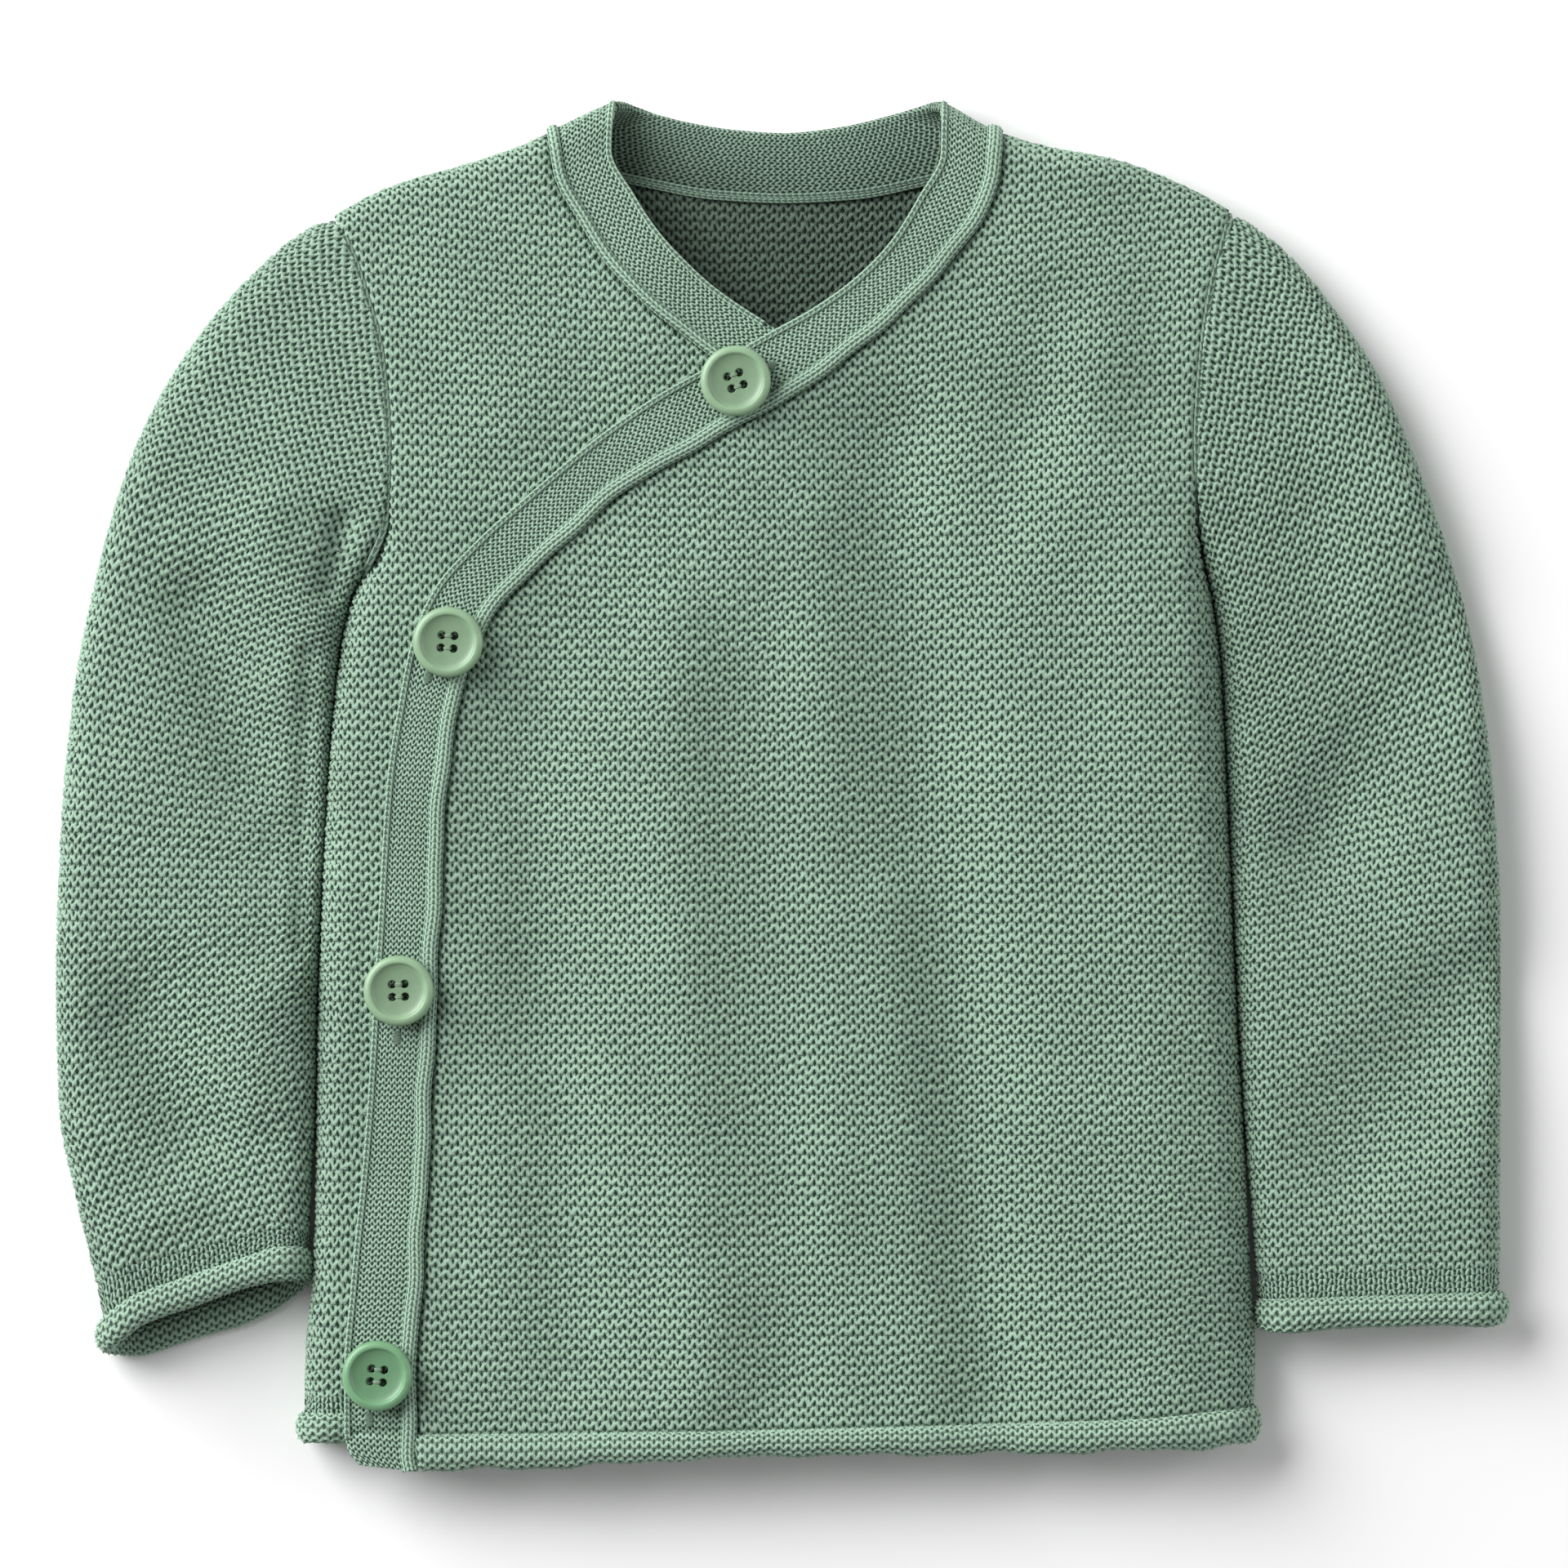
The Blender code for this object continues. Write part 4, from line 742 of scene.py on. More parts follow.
def knit_height(knit, share=0.0):
    """Height of the knit, plain where share is 1, with looser loops here and there."""
    height = garter(knit[:, 0], knit[:, 1]) * (1 - share)
    height = height + plain(knit[:, 0] * PLAIN_RIBS, knit[:, 1] * PLAIN_ROWS) * share
    loose = speck(np.floor(knit[:, 0] + 0.5), np.floor(knit[:, 1] + 0.5))
    return height * (TIGHT_LOOP + LOOSE_LOOP * loose)


def furrow(outward, face, within, opened):
    """How far an edge is drawn in along its seam: straight down where it lies flat."""
    down = np.zeros_like(outward)
    down[:, 2] = face
    return (outward * (1 - opened)[:, None] + down * opened[:, None]) * (
        FURROW * (1 - within))[:, None]


# ---------------------------------------------------------------- meshes
def placed(name, data, look=None):
    """A new object in the scene, in one material if it is a mesh."""
    if look:
        data.materials.append(look)
    item = bpy.data.objects.new(name, data)
    bpy.context.collection.objects.link(item)
    return item


def zip_rows(keys_a, keys_b, start_a, start_b):
    """Triangles between two rows of points with rising keys, from their first indices."""
    last = len(keys_a) - 1
    order = np.argsort(np.concatenate([keys_a[1:], keys_b[1:]]), kind="stable")
    from_a = order < last
    i = start_a + np.concatenate([[0], np.cumsum(from_a)])[:-1]
    j = start_b + np.concatenate([[0], np.cumsum(~from_a)])[:-1]
    return np.stack([i, np.where(from_a, i + 1, j + 1), j], -1)


class Cloth:
    """Points, knit coordinates and triangles of one piece, gathered row by row."""

    def __init__(self):
        self.points, self.knit, self.shares, self.faces = [], [], [], []
        self.count = 0

    def add(self, points, knit, plain_share, inside=0.0):
        """Adds points and returns the index of the first; inside is their share of painted shade.
        """
        start, count = self.count, points.size // 3
        self.points.append(points.reshape(-1, 3))
        self.knit.append(knit.reshape(-1, 2))
        self.shares.append(np.stack([np.broadcast_to(plain_share, (count,)),
                                     np.broadcast_to(inside, (count,))], -1))
        self.count += count
        return start

    def strip(self, keys_a, keys_b, start_a, start_b, turned=False):
        faces = zip_rows(keys_a, keys_b, start_a, start_b)
        self.faces.append(faces[:, ::-1] if turned else faces)

    def sides(self, indices_a, indices_b, keys_a, keys_b):
        """A rim between two lists of points, given by index."""
        faces = zip_rows(keys_a, keys_b, 0, len(keys_a))
        self.faces.append(np.concatenate([indices_a, indices_b])[faces])

    def make(self, name, look):
        """The piece, without the triangles that close up where its rows run together."""
        points = np.concatenate(self.points)
        knit = np.concatenate(self.knit)
        share = np.concatenate(self.shares)
        faces = np.concatenate(self.faces)
        _, first, same = np.unique(np.round(points, 4), axis=0, return_index=True,
                                   return_inverse=True)
        same = same.ravel()
        merged = same[faces]
        whole = ((merged[:, 0] != merged[:, 1]) & (merged[:, 1] != merged[:, 2])
                 & (merged[:, 2] != merged[:, 0]))
        faces, merged = faces[whole], merged[whole]
        _, kind, count = np.unique(np.sort(merged, axis=1), axis=0, return_inverse=True,
                                   return_counts=True)
        single = count[kind.ravel()] == 1
        faces, merged = faces[single], merged[single]
        points, share = points[first], share[first]
        used, merged = np.unique(merged, return_inverse=True)
        merged = merged.reshape(-1, 3)
        points, share = points[used], share[used]
        corners = points[merged]
        volume = np.einsum("ij,ij->i", corners[:, 0], np.cross(corners[:, 1], corners[:, 2]))
        if volume.sum() < 0:
            merged, faces = merged[:, ::-1], faces[:, ::-1]
        mesh = bpy.data.meshes.new(name)
        mesh.from_pydata(points * MM, [], merged)
        uv = mesh.uv_layers.new(name="knit")
        uv.data.foreach_set("uv", knit[faces].astype(np.float32).ravel())
        # plain is the share of plain knit, inside the share of painted shade
        for index, key in enumerate(("plain", "inside")):
            attribute = mesh.attributes.new(key, "FLOAT", "POINT")
            attribute.data.foreach_set("value", share[:, index].astype(np.float32))
        mesh.shade_smooth()
        return placed(name, mesh, look)


def settle(piece, slot, *nodes):
    """A piece rides on the garment, and stands for its solids."""
    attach(piece, "root")
    if nodes:
        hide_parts(*nodes)


def spread(values, rows):
    """A value for each row, given to each of its points."""
    return np.repeat(values, [len(row) for row in rows])


def indexed(rows, start, levels):
    """A layer's rows as (keys, first index, level), from the first index of all."""
    starts = start + np.cumsum([0] + [len(keys) for keys in rows[:-1]])
    return list(zip(rows, starts, levels))


def layered(cloth, outer, inner):
    """Joins an outer and an inner layer, each a list of (keys, first index, level) rows."""
    for rows, turned in ((outer, False), (inner, True)):
        for (keys_a, a, _), (keys_b, b, _) in zip(rows, rows[1:]):
            cloth.strip(keys_a, keys_b, a, b, turned)
    (first, a, _), (low, b, _) = outer[0], inner[0]
    cloth.strip(low, first, b, a)
    (last, a, _), (high, b, _) = outer[-1], inner[-1]
    cloth.strip(last, high, a, b)
    ends = []
    for rows in (outer, inner):
        starts = np.array([start for _, start, _ in rows])
        stops = starts + np.array([len(keys) - 1 for keys, _, _ in rows])
        ends.append((starts, stops, np.array([level for _, _, level in rows])))
    (low_out, high_out, levels_out), (low_in, high_in, levels_in) = ends
    cloth.sides(high_in, high_out, levels_in, levels_out)
    cloth.sides(low_out, low_in, levels_out, levels_in)


# ---------------------------------------------------------------- body panels
class Panel:
    """One of the body's three panels: its flat outline, its rows and its two faces."""

    def __init__(self, face, low, high, top, hem, lift, tilt, plain_rows=0.0):
        knit = bpy.context.scene.cardigan_knit
        self.face, self.low, self.high, self.top, self.hem = face, low, high, top, hem
        self.lift, self.tilt, self.plain_rows = lift, tilt, plain_rows
        self.stitch, self.ridge = knit.stitch / MM, knit.ridge / MM
        self.relief, self.unevenness = knit.relief / MM, knit.unevenness / MM
        self.middle_hem = float(table_line(hem, 0.0))

    def row_y(self, x, level):
        """Flat height of a knitted row, which starts along the hem and tilts at the chest."""
        hem = self.middle_hem + (table_line(self.hem, x) - self.middle_hem) * (
            1 - rising(level, HEM_SETTLED))
        outwards = np.sqrt(x ** 2 + TILT_BEND ** 2) - TILT_BEND
        return hem + level + self.tilt * outwards * rising(level, TILTED)

    def ends(self, level):
        """x of a row's two ends."""
        found = []
        for side in (self.low, self.high):
            x = np.float64(0.0)
            for _ in range(6):
                x = side(self.row_y(x, level))
            found.append(float(x))
        return found

    def surface(self, x, y):
        return body_surface(x, y, self.face, self.lift(x, y))

    def row(self, level, keep):
        """Flat points of a row: its ends, and the half stitches between that keep says."""
        low, high = self.ends(level)
        half = self.stitch / 2
        steps = np.arange(math.ceil((low + ROW_END) / half),
                          math.floor((high - ROW_END) / half) + 1)
        steps = steps[keep(steps * half, self.row_y(steps * half, level), steps)]
        return np.concatenate([[low], steps * half, [high]])

    def layer(self, cloth, levels, keep, inside=False, pressed=False, rough=1.0):
        """Adds a layer of rows to the cloth: its outer face, or its inner one. A pressed face
        has its loops level with the smooth one, and rough is the share of their height."""
        flat = [self.row(level, keep) for level in levels]
        x, level = np.concatenate(flat), spread(levels, flat)
        raw = self.row_y(x, level)
        top = self.top(x)
        y = np.minimum(raw, top)
        ends = np.concatenate([np.minimum(keys - keys[0], keys[-1] - keys) for keys in flat])
        hem_end = level if not inside else level + 2
        margin = np.minimum(np.minimum(ends, top - y), hem_end)
        within = smooth_step(margin / EDGE_FADE)
        across, along = self.unevenness * waves(x, y, ROW_WAVES).T
        knit = wobble(np.stack([x / self.stitch, (level - (raw - y)) / self.ridge], -1))
        share = smooth_step((self.plain_rows - level) / PLAIN_FADE) * (self.plain_rows > 0)
        x, y = x + across * within, np.minimum(y + along * within, top)
        outward = self.face * normals(self.surface, x, y)
        smooth = 1.0 if pressed else KNIT_LEVEL
        rise = (knit_height(knit, share) - smooth) * self.relief * within * rough
        points = self.surface(x, y)
        if inside:
            points = points - outward * (WALL + rise)[:, None]
        else:
            points = points + outward * rise[:, None]
            if not pressed:
                points = points - furrow(outward, self.face, within, armhole_open(y))
        # the inner face takes the painted shade of the garment's inside
        return indexed(flat, cloth.add(points, knit, share, float(inside)), levels)


def every(count):
    """Keeps one half stitch in so many."""
    def keep(x, y, steps):
        return steps % count == 0
    return keep


def quarter_rows(last, step=1, first=0):
    """Levels of a panel's rows, by quarters of a ridge, from its hem to its top."""
    ridge = bpy.context.scene.cardigan_knit.ridge / MM
    count = int(last / (ridge / 4)) + 2
    levels = np.arange(first, count, step) * ridge / 4
    return np.unique(np.concatenate([[0.0], levels, [count * ridge / 4]]))


def knit_over_front(look):
    """The over front, between its band's cord and the left side."""
    panel = Panel(1, lambda y: cord_at(OVER_BAND, y), lambda y: side_at(left_side, y),
                  shoulder_top, OVER_HEM, over_lift, OVER_TILT)
    cloth = Cloth()
    outer = panel.layer(cloth, quarter_rows(OVER_ROWS), every(1))
    inner = panel.layer(cloth, quarter_rows(OVER_ROWS, COARSE_ROWS), every(COARSE_STITCHES),
                        inside=True, rough=0.0)
    layered(cloth, outer, inner)
    return cloth.make("front_over_knit", look), panel


def knit_under_front(look):
    """The under front, whole under the over front but coarser where that covers it."""
    band = path_curve(OVER_BAND, np.linspace(0.0, 1.0, 401))

    def seen(x, y, steps):
        """Where the over front doesn't cover it."""
        edge = np.interp(y, band[3][::-1], band[2][::-1])
        return (x < edge + UNDER_SHOWN) | (steps % COVERED_STITCHES == 0)

    panel = Panel(1, lambda y: side_at(right_side, y), lambda y: cord_at(UNDER_BAND, y),
                  shoulder_top, UNDER_HEM, no_lift, UNDER_TILT, UNDER_PLAIN)
    cloth = Cloth()
    outer = panel.layer(cloth, quarter_rows(UNDER_ROWS), seen)
    inner = panel.layer(cloth, quarter_rows(UNDER_ROWS, COARSE_ROWS), every(COARSE_STITCHES),
                        inside=True, rough=0.0)
    layered(cloth, outer, inner)
    return cloth.make("front_under_knit", look), panel


def knit_back(look):
    """The back, flat underneath and raised inside where the neck shows it."""
    def in_neck(x, y, steps):
        seen = (np.abs(x) < NECK_SHOWN[0]) & (y > NECK_SHOWN[1])
        return seen | (steps % COARSE_STITCHES == 0)

    panel = Panel(-1, lambda y: side_at(right_side, y), lambda y: side_at(left_side, y),
                  back_top, BACK_HEM, back_lift, BACK_TILT)
    cloth = Cloth()
    outer = panel.layer(cloth, quarter_rows(BACK_ROWS, 2, 1), every(1), pressed=True)
    levels = quarter_rows(BACK_ROWS)
    neck = levels > NECK_ROWS
    levels = np.concatenate([levels[~neck][::COARSE_ROWS], levels[neck]])
    inner = panel.layer(cloth, levels, in_neck, inside=True, rough=0.85)
    layered(cloth, outer, inner)
    return cloth.make("back_knit", look), panel


# ---------------------------------------------------------------- sleeves
def knit_sleeve(side, table, look):
    """A sleeve from the armhole to the cuff, and its flat width, length and area."""
    knit = bpy.context.scene.cardigan_knit
    stitch, ridge = knit.stitch / MM, knit.ridge / MM
    surface, outwards = sleeve_face(side, table)
    way = np.linspace(0.0, 1.0, 801)
    inner_x, inner_y, outer_x, outer_y = sleeve_span(table, way)[:4]
    length = length_of(np.stack([inner_x + outer_x, inner_y + outer_y], -1) / 2)
    ridges = round(length[-1] / ridge)
    cloth = Cloth()
    layers = []
    for inside, row_step, keep in ((False, 1, 1), (True, COARSE_ROWS, COARSE_STITCHES)):
        steps = np.arange(0, ridges * 4 + 1, row_step) / 4
        steps = np.unique(np.concatenate([steps, [float(ridges)]]))
        row_way = np.interp(steps / ridges * length[-1], length, way)
        row_flat = sleeve_span(table, row_way)[-1]
        rows = []
        for flat in row_flat:
            count = int((flat - ROW_END) / (stitch / 2))
            half = np.arange(-count, count + 1)
            half = half[half % keep == 0]
            rows.append(np.concatenate([[-flat], half * stitch / 2, [flat]]))
        distance = np.concatenate(rows)
        at, mark, flat = (spread(values, rows) for values in (row_way, steps, row_flat))
        around = distance / flat
        opened = sleeve_span(table, at)[4]
        left = (1 - at) * length[-1]
        to_seam = np.where(opened > 0, flat - np.abs(distance), math.inf)
        within = smooth_step(np.minimum(np.minimum(to_seam, left), mark * ridge) / EDGE_FADE)
        coords = wobble(np.stack([distance / stitch, -mark], -1))
        share = smooth_step((CUFF_PLAIN - left) / PLAIN_FADE)
        outward = outwards(np.clip(at, 1 - SLEEVE_WAY, SLEEVE_WAY), around)
        points = surface(at, around)
        below = smooth_step(-np.sin(np.clip(around, -1, 1) * math.pi) / UNDERSIDE_FADE)
        smooth = KNIT_LEVEL + (1 - KNIT_LEVEL) * below
        if inside:
            points = points - outward * WALL
        else:
            rise = (knit_height(coords, share) - smooth) * knit.relief / MM * within
            points = points + outward * rise[:, None]
            points = points - furrow(outward, 1, within, opened) * (1 - below)[:, None]
        points[:, 2] = np.maximum(points[:, 2], 0.0)
        # the inner face takes the painted shade of the garment's inside
        start = cloth.add(points, coords, share, float(inside))
        layers.append(indexed([keys / keys[-1] for keys in rows], start, steps))
    layered(cloth, *layers)
    area = np.trapz(2 * row_flat, steps) * ridge
    sizes = (float(2 * row_flat.max()), float(length[-1]), float(area))
    return cloth.make("sleeve_%s_knit" % side, look), sizes


# ---------------------------------------------------------------- bands, rolls and cords
def knit_tube(name, rings, knit, look, share=0.0, closed=False, inside=0.0):
    """A solid strand of cloth through rings of points, capped unless it is a closed ring.

    rings and knit hold a last point in each ring that repeats the first.
    """
    cloth = Cloth()
    keys = np.arange(rings.shape[1], dtype=float)
    # inside is each point's share of painted shade
    start = cloth.add(rings, knit, share, np.ravel(inside))
    step = rings.shape[1]
    for k in range(rings.shape[0] - 1):
        cloth.strip(keys, keys, start + k * step, start + (k + 1) * step)
    if not closed:
        for k, turned in ((0, True), (rings.shape[0] - 1, False)):
            middle = cloth.add(rings[k, :-1].mean(axis=0), knit[k, :1], share)
            fan = np.stack([start + k * step + np.arange(step - 1),
                            start + k * step + np.arange(1, step),
                            np.full(step - 1, middle)], -1)
            cloth.faces.append(fan[:, ::-1] if turned else fan)
    return cloth.make(name, look)


def evenly(points, spacing):
    """Ways along a line of points that are evenly spaced on it."""
    length = length_of(points)
    count = max(2, int(round(length[-1] / spacing)))
    return np.interp(np.linspace(0.0, length[-1], count + 1), length,
                     np.linspace(0.0, 1.0, len(points)))


def neck_painted_shade(across, x):
    """How much painted shade the back neckband gets: most at its seam and on the wearer's right.
    """
    return ((0.1 + 0.8 * np.clip(1 - across, 0.0, 1.0))
            * (0.6 + 0.4 * smooth_step((12.0 - x) / 40.0)))


def knit_band(name, table, face, lift, look, turn=None, shaded=False):
    """A fine doubled band: a flat strand with rounded edges, knitted across."""
    bands = bpy.context.scene.cardigan_bands
    stitch, ridge, relief = bands.stitch / MM, bands.ridge / MM, bands.relief / MM
    radius = BAND_WALL / 2
    surface, turned = band_face(table, face, lift)
    sample = surface(np.linspace(0.0, 1.0, 401), np.full(401, 0.5))
    way = evenly(sample, ridge / 2)
    wide = float(np.linalg.norm(surface(np.array([0.5]), np.array([0.0]))
                                - surface(np.array([0.5]), np.array([1.0]))))
    columns = int(round(wide / (stitch / 2)))
    across = np.linspace(0.0, 1.0, columns + 1)
    ring = np.concatenate([across, across[-2:0:-1], [0.0]])
    below = np.concatenate([np.zeros(columns + 1), np.ones(columns - 1), [0.0]])
    way, ring = np.meshgrid(way, ring, indexing="ij")
    below = np.broadcast_to(below, way.shape)
    base = surface(way, ring)
    up = turned(way, ring, face)
    edge = np.minimum(ring, 1 - ring) * wide
    inset = radius - np.sqrt(np.maximum(radius ** 2 - np.maximum(radius - edge, 0.0) ** 2, 0.0))
    count = np.arange(way.shape[0])[:, None] / 2 + 0.25
    knit = wobble(np.stack([ring * columns / 2, np.broadcast_to(count, way.shape)], -1))
    height = garter(knit[..., 0], knit[..., 1], FINE_LOOPS)
    rise = (height - FINE_LEVEL) * relief * smooth_step(edge / BAND_EDGE_FADE)
    if turn is not None:
        from_turn = base[..., 1] - turn
        rise = (rise + BAND_TURN_RISE * smooth_step(-from_turn)
                - BAND_TURN_GROOVE * np.exp(-(from_turn / BAND_TURN_WIDTH) ** 2))
    # painted shade on the back neckband, for the shadow inside the neck
    inside = neck_painted_shade(ring, base[..., 0]) if shaded else 0.0
    depth = np.where(below > 0, BAND_WALL - inset + rise, inset - rise)
    points = base - up * depth[..., None]
    points[..., 2] = np.maximum(points[..., 2], 0.0)
    return knit_tube(name, points, knit, look, inside=inside)


def strand_rings(centres, sides, ups, half_width, half_height, around):
    """Rings round a line, and their outward directions."""
    turn = np.linspace(0.0, 2 * math.pi, around + 1)
    turn[-1] = 0.0
    cos, sin = np.cos(turn), np.sin(turn)
    points = (centres[:, None] + sides[:, None] * (half_width[:, None] * cos)[..., None]
              + ups[:, None] * (half_height[:, None] * sin)[..., None])
    outward = unit(sides[:, None] * (half_height[:, None] * cos)[..., None]
                   + ups[:, None] * (half_width[:, None] * sin)[..., None])
    return points, outward


def knit_chain(name, line, line_ups, width, height, look, wales=2, row=1.7, sink=0.0,
               relief=0.25, sway=0.0):
    """A cord of plain stitches on a line of points, with its wales side by side on top."""
    at = evenly(line, row / 3) * (len(line) - 1)
    whole = np.arange(len(line))
    centres, ups = (np.stack([np.interp(at, whole, values[:, k]) for k in range(3)], -1)
                    for values in (line, line_ups))
    ups = unit(ups)
    along = unit(np.gradient(centres, axis=0))
    sides = unit(np.cross(along, ups))
    ups = unit(np.cross(sides, along))
    length = length_of(centres)
    swing = np.sin(length * 0.2) + 0.6 * np.sin(length * 0.37 + 1.0)
    centres = centres + ups * (height / 2 - sink) + sides * (sway * swing)[:, None]
    count = wales * 6 + 2
    size = len(centres)
    points, outward = strand_rings(centres, sides, ups, np.full(size, width / 2),
                                   np.full(size, height / 2), count)
    turn = np.linspace(0.0, 1.0, count + 1)
    across = np.where(turn <= 0.5, turn, 1 - turn) * 2 * wales
    rows = length_of(centres) / row
    knit = np.stack(np.broadcast_arrays(across[None, :], rows[:, None]), -1)
    rise = (plain(knit[..., 0], knit[..., 1]) - CHAIN_LEVEL) * relief
    points = points + outward * rise[..., None]
    points[..., 2] = np.maximum(points[..., 2], 0.0)
    return knit_tube(name, points, knit, look, share=1.0)


def knit_roll(name, edge, outward, away, depth, height, look, lowest=0.0, highest=math.inf,
              rounded=0.0):
    """A rolled edge: a bead of purl loops along the end of a wall, which thins out over the
    last stretch of each end where rounded says how long it is."""
    knit = bpy.context.scene.cardigan_knit
    if rounded:
        along = length_of(edge)
        left = np.clip(np.minimum(along, along[-1] - along) / rounded, 0.0, 1.0)
        full = np.sqrt(1 - 0.92 * (1 - left) ** 2)
        depth, height = depth * full, height * full
    reach = depth + ROLL_GAP + ROLL_TUCK
    centre = edge + away * (reach / 2 - ROLL_TUCK)[:, None] + outward * (ROLL_LIFT - WALL / 2)
    count = ROLL_ROWS * 4
    points, out = strand_rings(centre, away, outward, reach / 2, height / 2, count)
    rows = np.linspace(0.0, 1.0, count + 1) * ROLL_ROWS
    index = np.arange(len(centre)) / 2
    coords = np.stack(np.broadcast_arrays(index[:, None], rows[None, :]), -1)
    row = np.floor(coords[..., 1] + 0.5) % ROLL_ROWS
    loose = speck(np.floor(coords[..., 0] + 0.5), row)
    rise = (garter(coords[..., 0], coords[..., 1]) - FINE_LEVEL) * knit.relief / MM
    uneven = ROLL_RELIEF * (0.8 + 0.4 * loose)
    points = points + out * (rise * uneven)[..., None]
    points[..., 2] = np.clip(points[..., 2], lowest, highest)
    return knit_tube(name, points, coords, look)


def knit_hem(name, hem, x_range, face, lift, look, pressed=1.0):
    """A rolled hem; pressed is its share of height where the over front covers it."""
    stitch = bpy.context.scene.cardigan_knit.stitch / MM

    def surface(x, y):
        return body_surface(x, y, face)

    sample = np.linspace(x_range[0], x_range[1], 301)
    way = evenly(surface(sample, table_line(hem, sample)), stitch / 2)
    x = x_range[0] + way * (x_range[1] - x_range[0])
    y = table_line(hem, x)
    outward = face * normals(surface, x, y)
    along = np.gradient(surface(x, y), axis=0)
    away = unit(face * np.cross(along, outward))
    away = np.where(away[:, 1:2] > 0, -away, away)
    edge = body_surface(x, y, face, lift(x, y))
    height = ROLL_HEIGHT * (1 - (1 - pressed) * covered(x))
    wave = 1 + 0.05 * np.sin(x * 0.21 + 0.6) + 0.04 * np.sin(x * 0.47)
    lowest, highest = (RIM_HEIGHT, math.inf) if face > 0 else (0.0, RIM_HEIGHT)
    return knit_roll(name, edge, outward, away, table_line(hem, x, 2) * wave, height, look,
                     lowest, highest, ROLL_ENDING)


def knit_cuff(side, table, look):
    """A rolled cuff: a closed ring, flatter where the sleeve lies beside the body."""
    stitch = bpy.context.scene.cardigan_knit.stitch / MM
    surface, outwards = sleeve_face(side, table)
    sample = np.linspace(-1.0, 1.0, 401)
    around = -1.0 + 2.0 * evenly(surface(np.ones(401), sample), stitch / 2)
    end = np.ones_like(around)
    edge = surface(end, around)
    away = unit(edge - surface(end - 0.01, around))
    height = ROLL_HEIGHT * (1 - (1 - CUFF_PRESSED) * rising(np.abs(around), CUFF_BESIDE))
    wave = 1 + 0.06 * np.sin(around * 9.0 + 0.4) + 0.04 * np.sin(around * 17.0)
    return knit_roll("cuff_roll_%s_knit" % side, edge, outwards(end, around), away,
                     CUFF_ROLL * wave, height, look)


# ---------------------------------------------------------------- buttons and threads
def turned_disc(name, profile, look, steps=96):
    """A solid of revolution from (radius, height) rows, in millimetres."""
    shape = bmesh.new()
    rings = []
    for radius, height in profile:
        angles = [2 * math.pi * k / steps for k in range(steps if radius else 1)]
        rings.append([shape.verts.new((radius * math.cos(angle) * MM,
                                       radius * math.sin(angle) * MM, height * MM))
                      for angle in angles])
    for lower, upper in zip(rings, rings[1:]):
        for k in range(steps):
            m = (k + 1) % steps
            corners = [lower[k % len(lower)], lower[m % len(lower)],
                       upper[m % len(upper)], upper[k % len(upper)]]
            shape.faces.new(list(dict.fromkeys(corners)))
    bmesh.ops.recalc_face_normals(shape, faces=shape.faces)
    mesh = bpy.data.meshes.new(name)
    shape.to_mesh(mesh)
    shape.free()
    return placed(name, mesh, look)


def drilled(disc):
    """Cuts the four thread holes through a button, with softened rims."""
    rim = [(BUTTON_HOLE_RADIUS + wider, height) for wider, height in BUTTON_HOLE_RIM]
    profile = [(0.0, rim[0][1]), *rim, (0.0, rim[-1][1])]
    offset = BUTTON_HOLE_OFFSET * MM
    holes = []
    for x in (-offset, offset):
        for y in (-offset, offset):
            hole = turned_disc("hole", profile, disc.data.materials[0], 24)
            hole.data.transform(Matrix.Translation((x, y, 0.0)))
            cut = disc.modifiers.new("hole", "BOOLEAN")
            cut.operation = "DIFFERENCE"
            cut.object = hole
            cut.solver = "EXACT"
            holes.append(hole)
    depsgraph = bpy.context.evaluated_depsgraph_get()
    mesh = bpy.data.meshes.new_from_object(disc.evaluated_get(depsgraph))
    disc.modifiers.clear()
    disc.data = mesh
    for hole in holes:
        bpy.data.objects.remove(hole, do_unlink=True)
    mesh.shade_smooth()
    mesh.set_sharp_from_angle(angle=math.radians(40))
    return disc


def thread_tube(points, radius, sides=8):
    """Points and faces of a round thread through points, in millimetres."""
    points = np.asarray(points, float)
    along = unit(np.gradient(points, axis=0))
    side = unit(np.cross(along, np.broadcast_to([0.13, 0.21, 0.97], along.shape)))
    up = np.cross(side, along)
    turn = 2 * math.pi * np.arange(sides) / sides
    rings = (points[:, None] + radius * (side[:, None] * np.cos(turn)[:, None]
                                         + up[:, None] * np.sin(turn)[:, None]))
    faces = []
    for i in range(len(points) - 1):
        for k in range(sides):
            m = (k + 1) % sides
            faces.append((i * sides + k, i * sides + m, (i + 1) * sides + m, (i + 1) * sides + k))
    faces.append(tuple(range(sides))[::-1])
    faces.append(tuple((len(points) - 1) * sides + k for k in range(sides)))
    return rings.reshape(-1, 3), faces


def smooth_path(points, count):
    """A rounded line of points through a few given ones."""
    rows = np.array(points, float)
    length = length_of(rows)
    at = np.linspace(0.0, length[-1], count)
    return np.stack([smooth_curve(length, rows[:, k], at) for k in range(3)], -1)


def sewing_threads():
    """Two pairs of threads over a button, each up through one hole and down the next."""
    threads = []
    for side in (-BUTTON_HOLE_OFFSET, BUTTON_HOLE_OFFSET):
        for y in (side - THREAD_PAIR, side + THREAD_PAIR):
            up = [(shift - BUTTON_HOLE_OFFSET, y, z) for shift, z in THREAD_RISE]
            down = [(-x, y, z) for x, y, z in reversed(up)]
            path = smooth_path([*up, (0.0, y, THREAD_TOP), *down], 26)
            threads.append(thread_tube(path, THREAD_RADIUS))
    return threads


